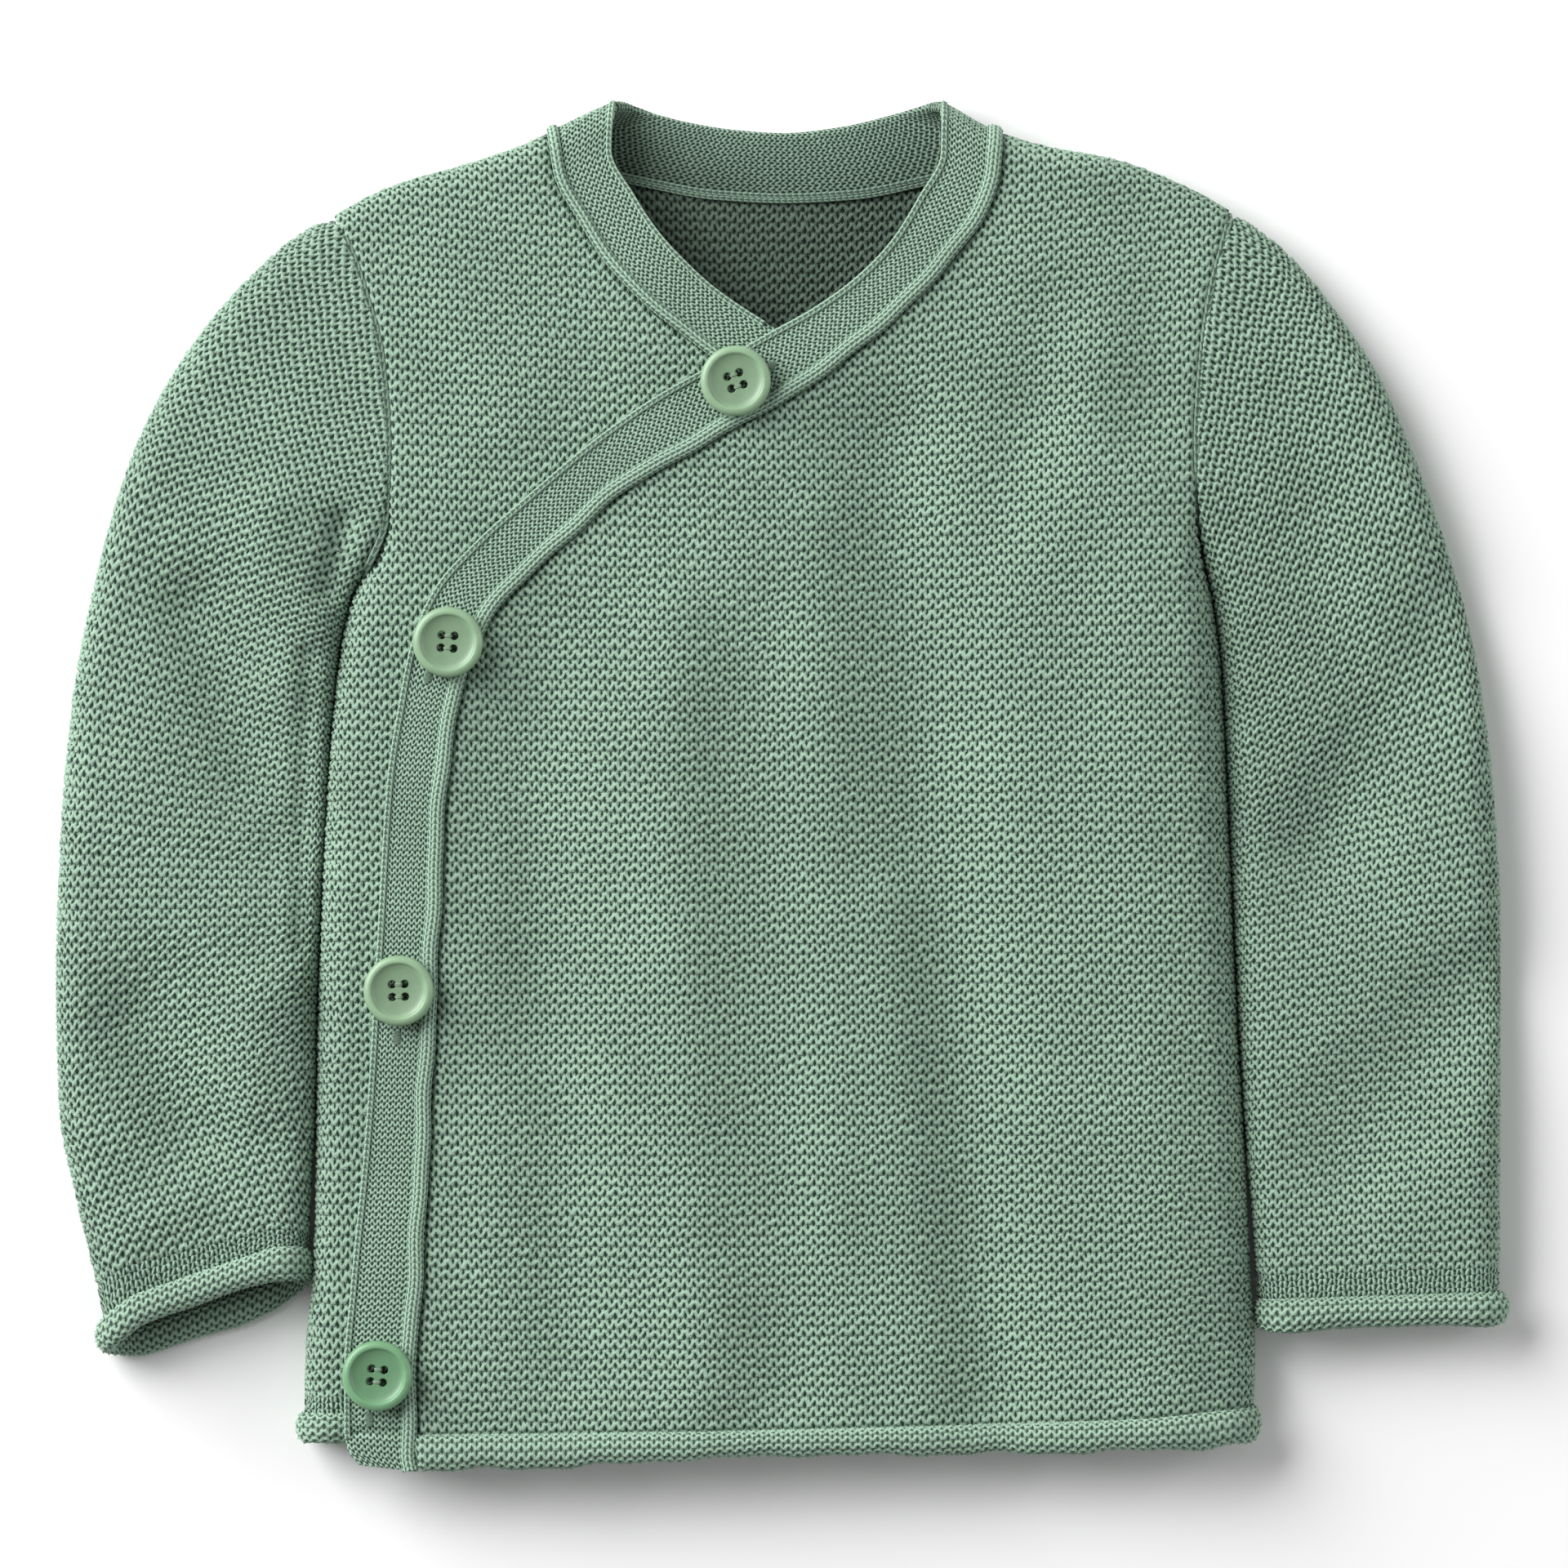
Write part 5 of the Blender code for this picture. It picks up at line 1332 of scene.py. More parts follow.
def shank_threads():
    """Thread wound round under a button."""
    turn = np.linspace(0.0, 2 * math.pi * SHANK_TURNS, 90)
    coil = np.stack([SHANK_RADIUS * np.cos(turn), SHANK_RADIUS * np.sin(turn),
                     SHANK_LOW + SHANK_HEIGHT * turn / turn[-1]], -1)
    return [thread_tube(coil, SHANK_THREAD)]


def hole_threads(x, y, turned, number):
    """Stitches across the end of a buttonhole, which lie in low arches."""
    run = np.array([math.cos(math.radians(turned)), math.sin(math.radians(turned))])
    side = np.array([-run[1], run[0]])
    share = np.linspace(-1.0, 1.0, 9)
    arch = HOLE_ARCH * np.sqrt(np.maximum(0.0, 1 - share ** 2)) - HOLE_SINK
    threads = []
    for k in range(HOLE_STITCHES):
        along = (k - HOLE_STITCHES // 2) * HOLE_SPACING
        half = HOLE_HALF_WIDTH * math.sqrt(max(0.1, 1 - (along / HOLE_HALF_LENGTH) ** 2))
        slant = HOLE_SLANT * math.sin(k * 2.3 + number)
        at = [x, y] + side * half * share[:, None] + run * (along + slant * share)[:, None]
        base, up = over_band_face(*at.T), normals(over_band_face, *at.T)
        threads.append(thread_tube(base + up * arch[:, None], HOLE_THREAD))
    return threads


def joined_threads(name, threads, look):
    """One piece of several threads, each its points and faces."""
    points, faces, count = [], [], 0
    for ring_points, ring_faces in threads:
        points.append(ring_points)
        faces += [tuple(index + count for index in face) for face in ring_faces]
        count += len(ring_points)
    mesh = bpy.data.meshes.new(name)
    mesh.from_pydata(np.concatenate(points) * MM, [], faces)
    mesh.shade_smooth()
    return placed(name, mesh, look)


# ---------------------------------------------------------------- node groups
class Value:
    """A node's output, from which others are worked out with the usual signs."""

    def __init__(self, nodes, socket):
        self.nodes, self.socket = nodes, socket

    def __add__(self, other):
        return self.nodes.math("ADD", self, other)

    def __sub__(self, other):
        return self.nodes.math("SUBTRACT", self, other)

    def __rsub__(self, other):
        return self.nodes.math("SUBTRACT", other, self)

    def __mul__(self, other):
        return self.nodes.math("MULTIPLY", self, other)

    def __truediv__(self, other):
        return self.nodes.math("DIVIDE", self, other)


class Nodes:
    """Adds nodes to a tree in short lines."""

    def __init__(self, tree):
        self.tree, self.count = tree, 0

    def add(self, kind, **settings):
        node = self.tree.nodes.new(kind)
        node.location = (self.count % 8 * 180.0, -(self.count // 8) * 260.0)
        self.count += 1
        for key, value in settings.items():
            setattr(node, key, value)
        return node

    def set(self, socket, value):
        if isinstance(value, Value):
            self.tree.links.new(value.socket, socket)
        else:
            socket.default_value = value

    def fill(self, node, **inputs):
        """Sets a node's inputs, with _ for a space in a name, and returns its outputs."""
        for key, value in inputs.items():
            self.set(node.inputs[key.replace("_", " ")], value)
        return {socket.name: Value(self, socket) for socket in node.outputs}

    def math(self, operation, first, second=0.0):
        node = self.add("ShaderNodeMath", operation=operation)
        self.set(node.inputs[0], first)
        self.set(node.inputs[1], second)
        return Value(self, node.outputs[0])

    def vector_math(self, operation, first, second=None):
        node = self.add("ShaderNodeVectorMath", operation=operation)
        self.set(node.inputs[0], first)
        if second is not None:
            self.set(node.inputs["Scale" if operation == "SCALE" else 1], second)
        return Value(self, node.outputs["Value" if operation == "LENGTH" else 0])

    def mix(self, share, first, second):
        node = self.add("ShaderNodeMix", data_type="RGBA")
        for index, value in ((0, share), (6, first), (7, second)):
            self.set(node.inputs[index], value)
        return Value(self, node.outputs[2])

    def place(self):
        return self.fill(self.add("ShaderNodeTexCoord"))["Object"]

    def attribute(self, name):
        return self.fill(self.add("ShaderNodeAttribute", attribute_name=name))["Fac"]

    def noise(self, vector, scale, detail=2.0, roughness=0.5):
        return self.fill(self.add("ShaderNodeTexNoise"), Vector=vector, Scale=scale,
                         Detail=detail, Roughness=roughness)["Fac"]

    def group(self, name, **inputs):
        node = self.add("ShaderNodeGroup", node_tree=bpy.data.node_groups[name])
        for item in node.node_tree.interface.items_tree:
            if item.in_out == "INPUT":
                node.inputs[item.name].default_value = item.default_value
        return self.fill(node, **inputs)


def new_group(name, inputs, outputs):
    """A node group with named sockets: (name, socket type, default) each."""
    tree = bpy.data.node_groups.new(name, "ShaderNodeTree")
    for direction, sockets in (("INPUT", inputs), ("OUTPUT", outputs)):
        for socket_name, kind, default in sockets:
            socket = tree.interface.new_socket(socket_name, in_out=direction, socket_type=kind)
            if default is not None:
                socket.default_value = default
    nodes = Nodes(tree)
    return nodes, nodes.fill(nodes.add("NodeGroupInput")), nodes.add("NodeGroupOutput").inputs


FLOAT, VECTOR, COLOUR = "NodeSocketFloat", "NodeSocketVector", "NodeSocketColor"


def make_garter_group():
    """Height of garter knit, as garter() has it, from its stitches in X and ridges in Y."""
    nodes, given, made = new_group(
        "garter_height",
        [("Knit", VECTOR, None), ("Sway", FLOAT, LOOP_SWAY / math.tanh(LOOP_SQUARE)),
         ("Square", FLOAT, LOOP_SQUARE), ("Thickness", FLOAT, LOOP_THICKNESS),
         ("Lean", FLOAT, LOOP_LEAN / math.tanh(LOOP_SQUARE)), ("Leg Spread", FLOAT, LEG_SPREAD),
         ("Leg Drop", FLOAT, LEG_DROP), ("Ridge Line", FLOAT, RIDGE_LINE)],
        [("Height", FLOAT, None)])
    knit = nodes.fill(nodes.add("ShaderNodeSeparateXYZ"), Vector=given["Knit"])
    turn = knit["X"] * (2 * math.pi)
    sine = nodes.math("SINE", turn)
    leg = sine * sine
    swing = nodes.math("TANH", nodes.math("COSINE", turn) * given["Square"])
    away = nodes.math("FRACT", knit["Y"] - swing * given["Sway"] + 0.5) - 0.5
    thickness = given["Thickness"] * (leg * given["Leg Spread"] + 1.0)
    share = away / (thickness * (1.0 - swing * given["Lean"]))
    loop = nodes.math("MAXIMUM", 1.0 - share * share) * (1.0 - leg * given["Leg Drop"])
    line = (nodes.math("FRACT", knit["Y"] - swing * RIDGE_LINE_SWAY) - 0.5) / RIDGE_LINE_WIDTH
    line = nodes.math("MAXIMUM", 1.0 - line * line) * given["Ridge Line"]
    nodes.set(made["Height"], loop * (1.0 - line))


def make_plain_group():
    """Height of plain knit, as plain() has it but with a lower bow."""
    nodes, given, made = new_group(
        "plain_height", [("Knit", VECTOR, None), ("Rib", FLOAT, 1.0), ("Row", FLOAT, 1.0)],
        [("Height", FLOAT, None)])
    knit = nodes.fill(nodes.add("ShaderNodeSeparateXYZ"), Vector=given["Knit"])
    part = nodes.math("FRACT", knit["Y"] * given["Row"])
    leg = nodes.math("ABSOLUTE", nodes.math("FRACT", knit["X"] * given["Rib"]) - 0.5)
    side = (leg - PLAIN_FOOT - part * PLAIN_SLANT) / PLAIN_LEG
    bow = nodes.math("SINE", part * math.pi) * PLAIN_BOW[1] + (1 - PLAIN_BOW[1])
    leg = nodes.math("SQRT", nodes.math("MAXIMUM", 1.0 - side * side))
    nodes.set(made["Height"], leg * bow)


def make_fibre_group():
    """Fine twisted fibres of a yarn, and its slow drift of shade."""
    nodes, given, made = new_group(
        "yarn_fibre", [("Scale", FLOAT, 2600.0)],
        [("Fibre", FLOAT, None), ("Drift", FLOAT, None)])
    place = nodes.place()
    fine = nodes.vector_math("SCALE", place, given["Scale"])
    nodes.set(made["Fibre"], nodes.noise(fine, 1.0, 1.0, 0.6))
    nodes.set(made["Drift"], nodes.noise(place, 45.0, 1.0))


def make_yarn_group():
    """Colour and relief of yarn: pale on its loops, with painted shade between them and on the
    garment's inside, and with fibres.
    """
    nodes, given, made = new_group(
        "yarn_look",
        [("Height", FLOAT, 1.0), ("Fibre", FLOAT, 0.5), ("Drift", FLOAT, 0.5),
         ("Yarn", COLOUR, (0.3, 0.44, 0.34, 1.0)), ("Gap", COLOUR, (0.04, 0.08, 0.05, 1.0)),
         ("Depth", FLOAT, 1.0), ("Inside", FLOAT, 0.0)],
        [("Colour", COLOUR, None), ("Relief", FLOAT, None)])
    # painted shade: the colour darkens from the loops' tops into the gaps between them
    lit = given["Height"] * (2.0 - given["Height"])
    shown = (lit - 1.0) * given["Depth"] + 1.0
    # fibres and drift vary the tone at random; the inside share adds painted shade
    shade = given["Fibre"] * 0.5 + given["Drift"] * 0.3 + 0.6
    shade = shade * (1.0 - given["Inside"] * PAINTED_INSIDE_SHADE)
    yarn = nodes.mix(shown, given["Gap"], given["Yarn"])
    nodes.set(made["Colour"], nodes.vector_math("SCALE", yarn, shade))
    nodes.set(made["Relief"], given["Fibre"] * 0.22 + given["Height"])


# ---------------------------------------------------------------- materials
def new_look(name, roughness, **inputs):
    """A material, the nodes to build it with and its shader."""
    look = bpy.data.materials.new(name)
    look.use_nodes = True
    look.node_tree.nodes.clear()
    nodes = Nodes(look.node_tree)
    shader = nodes.add("ShaderNodeBsdfPrincipled")
    made = nodes.fill(shader, Roughness=roughness, Specular_IOR_Level=0.25)
    nodes.fill(shader, **inputs)
    nodes.fill(nodes.add("ShaderNodeOutputMaterial"), Surface=made["BSDF"])
    return look, nodes, shader


def sheen(weight):
    return {"Sheen_Weight": weight, "Sheen_Roughness": 0.45, "Sheen_Tint": (0.8, 1.0, 0.86, 1.0)}


def finish(nodes, shader, colour, height, distance):
    """A colour, and bump from a height, as deep as a distance in metres."""
    bump = nodes.fill(nodes.add("ShaderNodeBump"), Height=height, Distance=distance)
    nodes.fill(shader, Base_Color=colour, Normal=bump["Normal"])


def knit_look(name, stitches, depth, tone=1.0, distance=0.0007,
              loops=(LOOP_THICKNESS, LEG_SPREAD)):
    """A yarn material: stitches is garter, plain or both, which the mesh's mask parts, depth
    is how dark the painted shade in its gaps is, tone its paleness, distance its bump's height."""
    knit = bpy.context.scene.cardigan_knit
    look, nodes, shader = new_look(name, 0.92, **sheen(0.06))
    place = nodes.fill(nodes.add("ShaderNodeUVMap", uv_map="knit"))["UV"]
    heights = []
    if stitches in ("garter", "both"):
        heights.append(nodes.group("garter_height", Knit=place, Thickness=loops[0],
                                   Leg_Spread=loops[1])["Height"])
    if stitches in ("plain", "both"):
        rib, row = (PLAIN_RIBS, PLAIN_ROWS) if stitches == "both" else (1.0, 1.0)
        heights.append(nodes.group("plain_height", Knit=place, Rib=rib, Row=row)["Height"])
    height = heights[0]
    if stitches == "both":
        height = height + (heights[1] - height) * nodes.attribute("plain")
    # the mesh's inside attribute gives its share of painted shade
    yarn = nodes.group("yarn_look", Height=height, **nodes.group("yarn_fibre"),
                       Yarn=(*[value * tone for value in knit.yarn], 1.0),
                       Gap=(*knit.shade, 1.0), Depth=depth, Inside=nodes.attribute("inside"))
    finish(nodes, shader, yarn["Colour"], yarn["Relief"], distance)
    return look


def plastic_look(name, setting):
    """A button's plastic: pale on its rim, deeper in its bowl and faintly clouded."""
    look, nodes, shader = new_look(name, 0.3, Coat_Weight=0.2, Coat_Roughness=0.26,
                                   Specular_IOR_Level=0.5)
    place = nodes.place()
    radius = nodes.vector_math("LENGTH", nodes.vector_math("MULTIPLY", place, (1.0, 1.0, 0.0)))
    rim = nodes.fill(nodes.add("ShaderNodeMapRange", interpolation_type="SMOOTHSTEP"),
                     Value=radius, From_Min=BUTTON_BOWL[0], From_Max=BUTTON_BOWL[1])["Result"]
    rim_colour = getattr(bpy.context.scene.cardigan_buttons, setting)
    bowl_colour = [value * BUTTON_BOWL_TONE for value in rim_colour]
    colour = nodes.mix(rim, (*bowl_colour, 1.0), (*rim_colour, 1.0))
    cloud = nodes.noise(place, 260.0, 3.0, 0.55)
    colour = nodes.vector_math("SCALE", colour, cloud * 0.3 + 0.85)
    nodes.fill(shader, Roughness=cloud * 0.12 + 0.32)
    finish(nodes, shader, colour, cloud, 0.00005)
    return look


def thread_look(name, setting):
    look, nodes, shader = new_look(name, 0.8, **sheen(0.15))
    colour = getattr(bpy.context.scene.cardigan_buttons, setting)
    yarn = nodes.group("yarn_look", **nodes.group("yarn_fibre", Scale=5200.0),
                       Yarn=(*colour, 1.0))
    finish(nodes, shader, yarn["Colour"], yarn["Relief"], 0.0001)
    return look


def floor_look(colour):
    look, nodes, shader = new_look("pale_floor", 0.9)
    shade = nodes.noise(nodes.place(), 9.0) * 0.02 + 0.99
    nodes.fill(shader, Base_Color=nodes.vector_math("SCALE", colour, shade))
    return look


LOOKS = {
    # the function that makes it, and what it takes after the name
    "knitted_garter": (knit_look, "both", 1.0),
    "knitted_roll": (knit_look, "garter", 0.9, 1.1),
    "knitted_band": (knit_look, "garter", 1.0, 1.1, 0.0005, FINE_LOOPS),
    "knitted_neckband": (knit_look, "garter", 1.0, 0.9, 0.0005, FINE_LOOPS),
    "knitted_cord": (knit_look, "plain", 0.8, 1.12, 0.0003),
    "knitted_seam": (knit_look, "plain", 0.8, 0.7, 0.0003),
    "button_plastic": (plastic_look, "colour"),
    "deep_button_plastic": (plastic_look, "deep_colour"),
    "sewing_thread": (thread_look, "thread"),
    "shank_thread": (thread_look, "shank"),
    "hole_thread": (thread_look, "buttonhole"),
}


def look(name):
    """The material of this name, made the first time it is asked for."""
    if "garter_height" not in bpy.data.node_groups:
        make_garter_group()
        make_plain_group()
        make_fibre_group()
        make_yarn_group()
    make, *values = LOOKS[name]
    return bpy.data.materials.get(name) or make(name, *values)


# ---------------------------------------------------------------- lines on the garment
def line_on_band(table, face, lift, way, across):
    """Points and up directions along a band, at one share of its width."""
    surface, turned = band_face(table, face, lift)
    across = np.full_like(way, across)
    return surface(way, across), turned(way, across)


def armhole_line(index, outwards, lowest, cover):
    """Points and up directions of the seam between the body and a sleeve: up in front, over
    the shoulder's rim and down a little behind."""
    top = ARMHOLE_TOP
    for _ in range(12):
        top = (top + float(shoulder_top(side_lines(top)[index]))) / 2
    path = np.linspace(lowest, top + ARMHOLE_BEHIND, 161)
    face = np.where(path <= top, 1, -1)
    y = top - np.abs(top - path)
    near, drawn_in, raised = ARMHOLE_RIM
    near_rim = np.exp(-((path - top) / near) ** 2)
    x = side_lines(np.minimum(y, ARMHOLE_CORNER))[index]
    x = x + outwards * (ARMHOLE_OUT - drawn_in * near_rim)
    shift, rise = over_rim(top - y, SHOULDER_RIM)
    angle = np.clip((top - y) / SHOULDER_RIM, 0.0, math.pi / 2)
    share = np.maximum(armhole_open(y), cover * rising(y, (lowest, lowest + ARMHOLE_START)))
    level = np.where(face > 0, RIM_HEIGHT + (crest(x, y) - RIM_HEIGHT) * share * rise,
                     RIM_HEIGHT * (1 - rise))
    ups = np.stack([0 * y, np.cos(angle), face * np.sin(angle)], -1)
    return np.stack([x, y - shift, level], -1) + ups * (raised * near_rim)[:, None], ups


def flat_cut(panel):
    """A panel's flat width, length and area in metres, counted on a grid of millimetres."""
    x, y = np.meshgrid(np.arange(-130.0, 131.0), np.arange(-170.0, 175.0))
    low, high = (side(y[:, 0])[:, None] for side in (panel.low, panel.high))
    cloth = (x >= low) & (x <= high) & (y >= table_line(panel.hem, x)) & (y <= panel.top(x))
    x, y = x[cloth], y[cloth]
    return (x.max() - x.min() + 1) * MM, (y.max() - y.min() + 1) * MM, cloth.sum() * MM * MM


# ---------------------------------------------------------------- operators
class CARDIGAN_OT_roll_edges(bpy.types.Operator):
    """Knits the rolled edges of the hem and the cuffs"""
    bl_idname = "cardigan.roll_edges"
    bl_label = "Roll the edges"
    bl_options = {"REGISTER", "UNDO"}

    def execute(self, context):
        rolled = look("knitted_roll")
        right_end, left_end = right_side(HEM_CORNERS[0]), left_side(HEM_CORNERS[1])
        for name, hem, ends, face, lift, pressed in (
                ("hem_roll_back", BACK_HEM, (right_end, left_end), -1, back_lift, 1.0),
                ("hem_roll_under", UNDER_HEM, (right_end, UNDER_ROLL_END), 1, under_roll_lift,
                 UNDER_ROLL_PRESSED),
                ("hem_roll_over", OVER_HEM, (OVER_ROLL_END, left_end), 1, over_lift, 1.0)):
            piece = knit_hem(name + "_knit", hem, ends, face, lift, rolled, pressed)
            settle(piece, "rolled_edge", name)
        for side, table in (("right", SLEEVE_RIGHT), ("left", SLEEVE_LEFT)):
            settle(knit_cuff(side, table, rolled), "rolled_edge", "cuff_roll_" + side)
        return {"FINISHED"}


class CARDIGAN_OT_knit_bands(bpy.types.Operator):
    """Knits the fine bands of the two fronts and of the back of the neck"""
    bl_idname = "cardigan.knit_bands"
    bl_label = "Knit the bands"
    bl_options = {"REGISTER", "UNDO"}

    def execute(self, context):
        # a shaded band gets painted shade, for the shadow inside the neck
        for name, table, face, lift, fine, turn, shaded in (
                ("band_over", OVER_BAND, 1, band_over_lift, "knitted_band", BAND_TURN, False),
                ("band_under", UNDER_BAND, 1, band_under_lift, "knitted_band", None, False),
                ("band_back_neck", BACK_BAND, -1, no_lift, "knitted_neckband", None, True)):
            piece = knit_band(name + "_knit", table, face, lift, look(fine), turn, shaded)
            settle(piece, "fine_band", name)
        return {"FINISHED"}


class CARDIGAN_OT_chain_cords(bpy.types.Operator):
    """Lays the raised cords, the edge chains and the seam chains on the cloth"""
    bl_idname = "cardigan.chain_cords"
    bl_label = "Chain the cords"
    bl_options = {"REGISTER", "UNDO"}

    def execute(self, context):
        bands = context.scene.cardigan_bands
        width, row = bands.cord_width / MM, bands.cord_row / MM
        cord, seam = look("knitted_cord"), look("knitted_seam")
        whole = np.linspace(0.0, 1.0, 401)
        most = whole[whole < EDGE_CHAIN_END]
        under_x = path_curve(folded_rows(UNDER_BAND), whole)[0]
        shown = whole[: int(np.argmax(under_x > UNDER_CORD_END))]
        for name, table, lift, way, across, size, height, wales, sink, sway in (
                ("over_cord", OVER_BAND, band_over_lift, whole, 0.12, width, 2.6, 3, 1.2, 0.22),
                ("over_edge_chain", OVER_BAND, band_over_lift, most, 0.955, 1.7, 1.3, 1, 0.7,
                 0.0),
                ("under_cord", UNDER_BAND, band_under_lift, shown, 0.1, width * 0.75, 2.3, 2,
                 1.0, 0.12),
                ("under_edge_chain", UNDER_BAND, band_under_lift, shown, 0.955, 1.6, 1.3, 1,
                 0.7, 0.0)):
            points, ups = line_on_band(table, 1, lift, way, across)
            piece = knit_chain(name, points, ups, size, height, cord, wales, row, sink,
                               sway=sway)
            settle(piece, "fine_band")
        way = np.linspace(0.1, 0.9, 201)
        for name, across, size in (("neck_tape_upper", 0.03, 1.5),
                                   ("neck_tape_lower", -0.045, 1.3)):
            points, ups = line_on_band(BACK_BAND, -1, no_lift, way, across)
            piece = knit_chain(name, points + ups * BAND_WALL, ups, size, 1.3, seam, 1, row, 0.6)
            settle(piece, "fine_band")
        for side, *where in ARMHOLE_SEAMS:
            points, ups = armhole_line(*where)
            piece = knit_chain("armhole_seam_" + side, points, ups, 1.9, 1.4, seam, 1, 2.2, 1.6)
            settle(piece, "garter_knit")
        return {"FINISHED"}


class CARDIGAN_OT_knit_body(bpy.types.Operator):
    bl_idname = "cardigan.knit_body"
    bl_label = "Knit the body"
    bl_options = {"REGISTER", "UNDO"}

    def execute(self, context):
        knit = look("knitted_garter")
        for node, make, rests_on, pieces in (
                ("back", knit_back, ["floor"],
                 ["hem_roll_back_knit", "band_back_neck_knit", "neck_tape_upper",
                  "neck_tape_lower"]),
                ("front_under", knit_under_front, ["back_knit"],
                 ["hem_roll_under_knit", "band_under_knit", "under_cord", "under_edge_chain"]),
                ("front_over", knit_over_front, ["front_under_knit"],
                 ["hem_roll_over_knit", "band_over_knit", "over_cord", "over_edge_chain"])):
            piece, panel = make(knit)
            settle(piece, "garter_knit", node)
            width, length, area = flat_cut(panel)
            print("%s: %.3f x %.3f m, %.4f m2" % (piece.name, width, length, area))
        return {"FINISHED"}


class CARDIGAN_OT_knit_sleeves(bpy.types.Operator):
    bl_idname = "cardigan.knit_sleeves"
    bl_label = "Knit the sleeves"
    bl_options = {"REGISTER", "UNDO"}

    def execute(self, context):
        knit = look("knitted_garter")
        for side, table in (("right", SLEEVE_RIGHT), ("left", SLEEVE_LEFT)):
            piece, (width, length, area) = knit_sleeve(side, table, knit)
            settle(piece, "garter_knit", "sleeve_" + side)
            print("%s: %.3f x %.3f m, %.4f m2" % (piece.name, width * MM, length * MM,
                                                  area * MM * MM))
        return {"FINISHED"}


class CARDIGAN_OT_sew_buttons(bpy.types.Operator):
    """Sews on the four buttons"""
    bl_idname = "cardigan.sew_buttons"
    bl_label = "Sew on the buttons"
    bl_options = {"REGISTER", "UNDO"}

    def execute(self, context):
        for number, (x, y, turned, deep) in enumerate(BUTTONS, 1):
            name = "button_%d" % number
            plastic = look("deep_button_plastic" if deep else "button_plastic")
            button = drilled(turned_disc(name + "_turned", BUTTON_PROFILE, plastic))
            shank = joined_threads(name + "_shank", shank_threads(), look("shank_thread"))
            sewn = joined_threads(name + "_thread", sewing_threads(), look("sewing_thread"))
            at = np.array([x]), np.array([y])
            up = Vector(normals(over_band_face, *at, (2.0, 2.0))[0])
            place = (Vector(over_band_face(*at)[0]) + up * BUTTON_STAND) * MM
            tilt = UPRIGHT.rotation_difference(up)
            spin = Matrix.Rotation(math.radians(turned), 4, UPRIGHT)
            for piece in (button, shank, sewn):
                piece.matrix_world = Matrix.LocRotScale(place, tilt, None) @ spin
            settle(button, "button", name)
            settle(shank, "fine_band")
            settle(sewn, "fine_band")
        return {"FINISHED"}


class CARDIGAN_OT_stitch_buttonholes(bpy.types.Operator):
    """Stitches round the ends of the buttonholes that show beside the buttons"""
    bl_idname = "cardigan.stitch_buttonholes"
    bl_label = "Stitch the buttonholes"
    bl_options = {"REGISTER", "UNDO"}

    def execute(self, context):
        for number, hole in enumerate(BUTTONHOLES, 1):
            settle(joined_threads("buttonhole_%d" % number, hole_threads(*hole, number),
                                  look("hole_thread")), "fine_band")
        return {"FINISHED"}


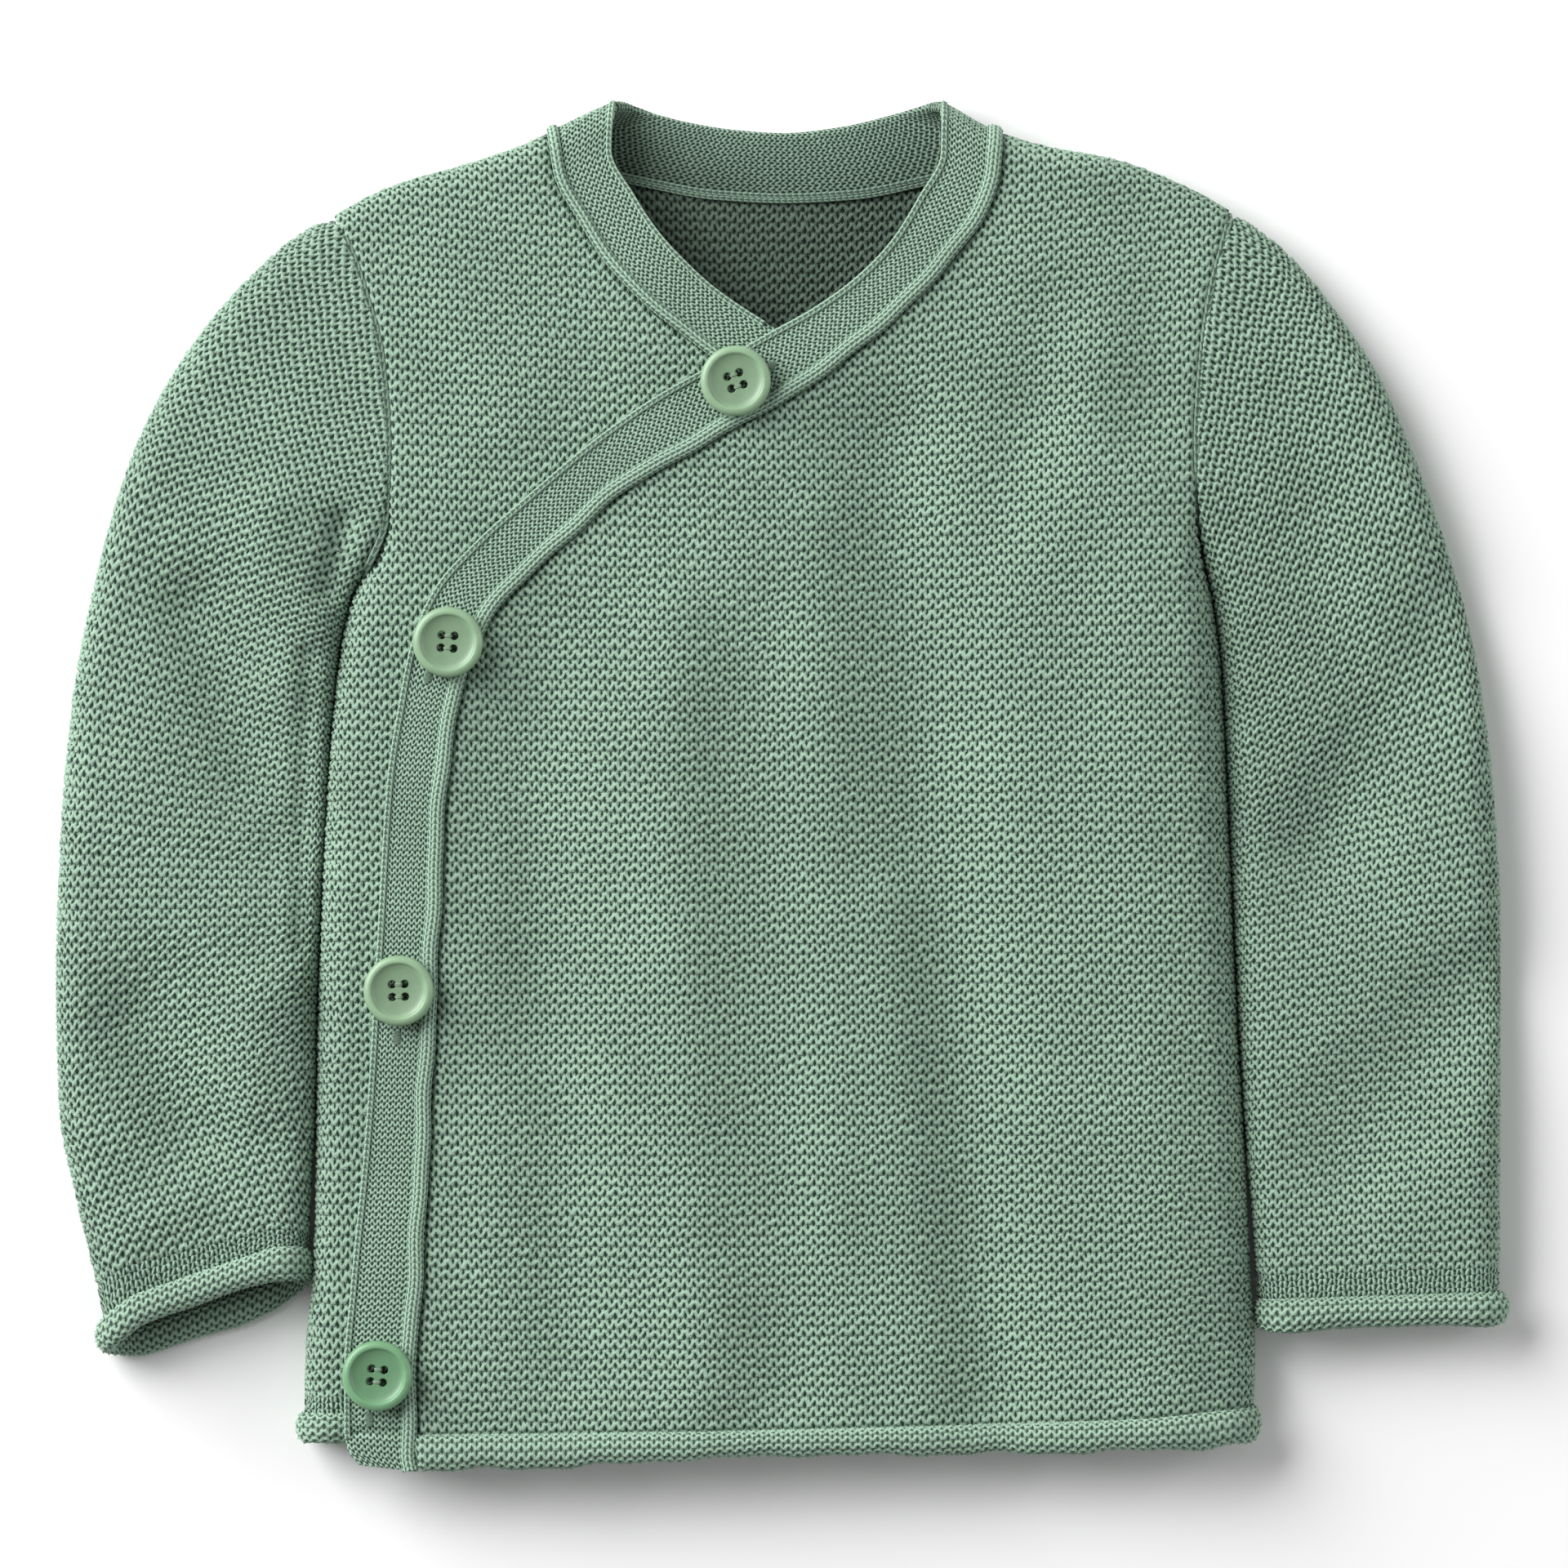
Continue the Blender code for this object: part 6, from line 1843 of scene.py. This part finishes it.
class CARDIGAN_OT_set_stage(bpy.types.Operator):
    """Lays the floor and sets the lights and the camera"""
    bl_idname = "cardigan.set_stage"
    bl_label = "Set the stage"
    bl_options = {"REGISTER", "UNDO"}

    def execute(self, context):
        scene, stage = context.scene, context.scene.cardigan_stage
        shape = bmesh.new()
        bmesh.ops.create_grid(shape, x_segments=8, y_segments=8, size=6.0)
        mesh = bpy.data.meshes.new("floor")
        shape.to_mesh(mesh)
        shape.free()
        floor = placed("floor", mesh, floor_look(stage.floor))
        floor.location.z = FLOOR_LEVEL
        for name, place, size, power in (
                ("key_light", (-2.4, 1.6, 1.85), 2.6, stage.key),
                ("fill_light", (2.6, 0.4, 0.95), 2.0, stage.fill)):
            lamp = bpy.data.lights.new(name, "AREA")
            lamp.size, lamp.energy = size, power
            light = placed(name, lamp)
            light.location = place
            light.rotation_euler = (-Vector(place)).to_track_quat("-Z", "Y").to_euler()
        world = bpy.data.worlds.new("even_sky")
        world.use_nodes = True
        sky = world.node_tree.nodes["Background"].inputs
        sky["Color"].default_value = (1.0, 1.0, 1.0, 1.0)
        sky["Strength"].default_value = stage.sky
        scene.world = world
        scene.view_settings.view_transform = "Standard"
        lens = bpy.data.cameras.new("camera")
        lens.sensor_width = 36.0
        distance = stage.camera_height - RIM_HEIGHT * MM
        lens.lens = lens.sensor_width * distance / stage.view_width
        lens.clip_start, lens.clip_end = 0.01, 50.0
        scene.camera = placed("camera", lens)
        scene.camera.location.z = stage.camera_height
        return {"FINISHED"}


OPERATORS = (
    CARDIGAN_OT_roll_edges, CARDIGAN_OT_knit_bands, CARDIGAN_OT_chain_cords,
    CARDIGAN_OT_knit_body, CARDIGAN_OT_knit_sleeves, CARDIGAN_OT_sew_buttons,
    CARDIGAN_OT_stitch_buttonholes, CARDIGAN_OT_set_stage,
)


class CARDIGAN_PT_panel(bpy.types.Panel):
    """Lists the garment's sizes and the steps that make it"""
    bl_idname = "CARDIGAN_PT_panel"
    bl_label = "Cardigan"
    bl_space_type = "VIEW_3D"
    bl_region_type = "UI"
    bl_category = "Cardigan"

    def draw(self, context):
        for key, group in GROUPS:
            box = self.layout.box()
            box.label(text=key.replace("_", " ").capitalize())
            for setting in group.__annotations__:
                box.prop(getattr(context.scene, key), setting)
        for operator in OPERATORS:
            self.layout.operator(operator.bl_idname)


CLASSES = tuple(group for _, group in GROUPS) + OPERATORS + (CARDIGAN_PT_panel,)


def register():
    for item in CLASSES:
        bpy.utils.register_class(item)
    for key, group in GROUPS:
        setattr(bpy.types.Scene, key, bpy.props.PointerProperty(type=group))


def unregister():
    for key, _ in GROUPS:
        delattr(bpy.types.Scene, key)
    for item in reversed(CLASSES):
        bpy.utils.unregister_class(item)


def main():
    register()
    bpy.ops.cardigan.roll_edges()
    bpy.ops.cardigan.knit_bands()
    bpy.ops.cardigan.chain_cords()
    bpy.ops.cardigan.knit_body()
    bpy.ops.cardigan.knit_sleeves()
    bpy.ops.cardigan.sew_buttons()
    bpy.ops.cardigan.stitch_buttonholes()
    bpy.ops.cardigan.set_stage()


if __name__ == "__main__":
    main()
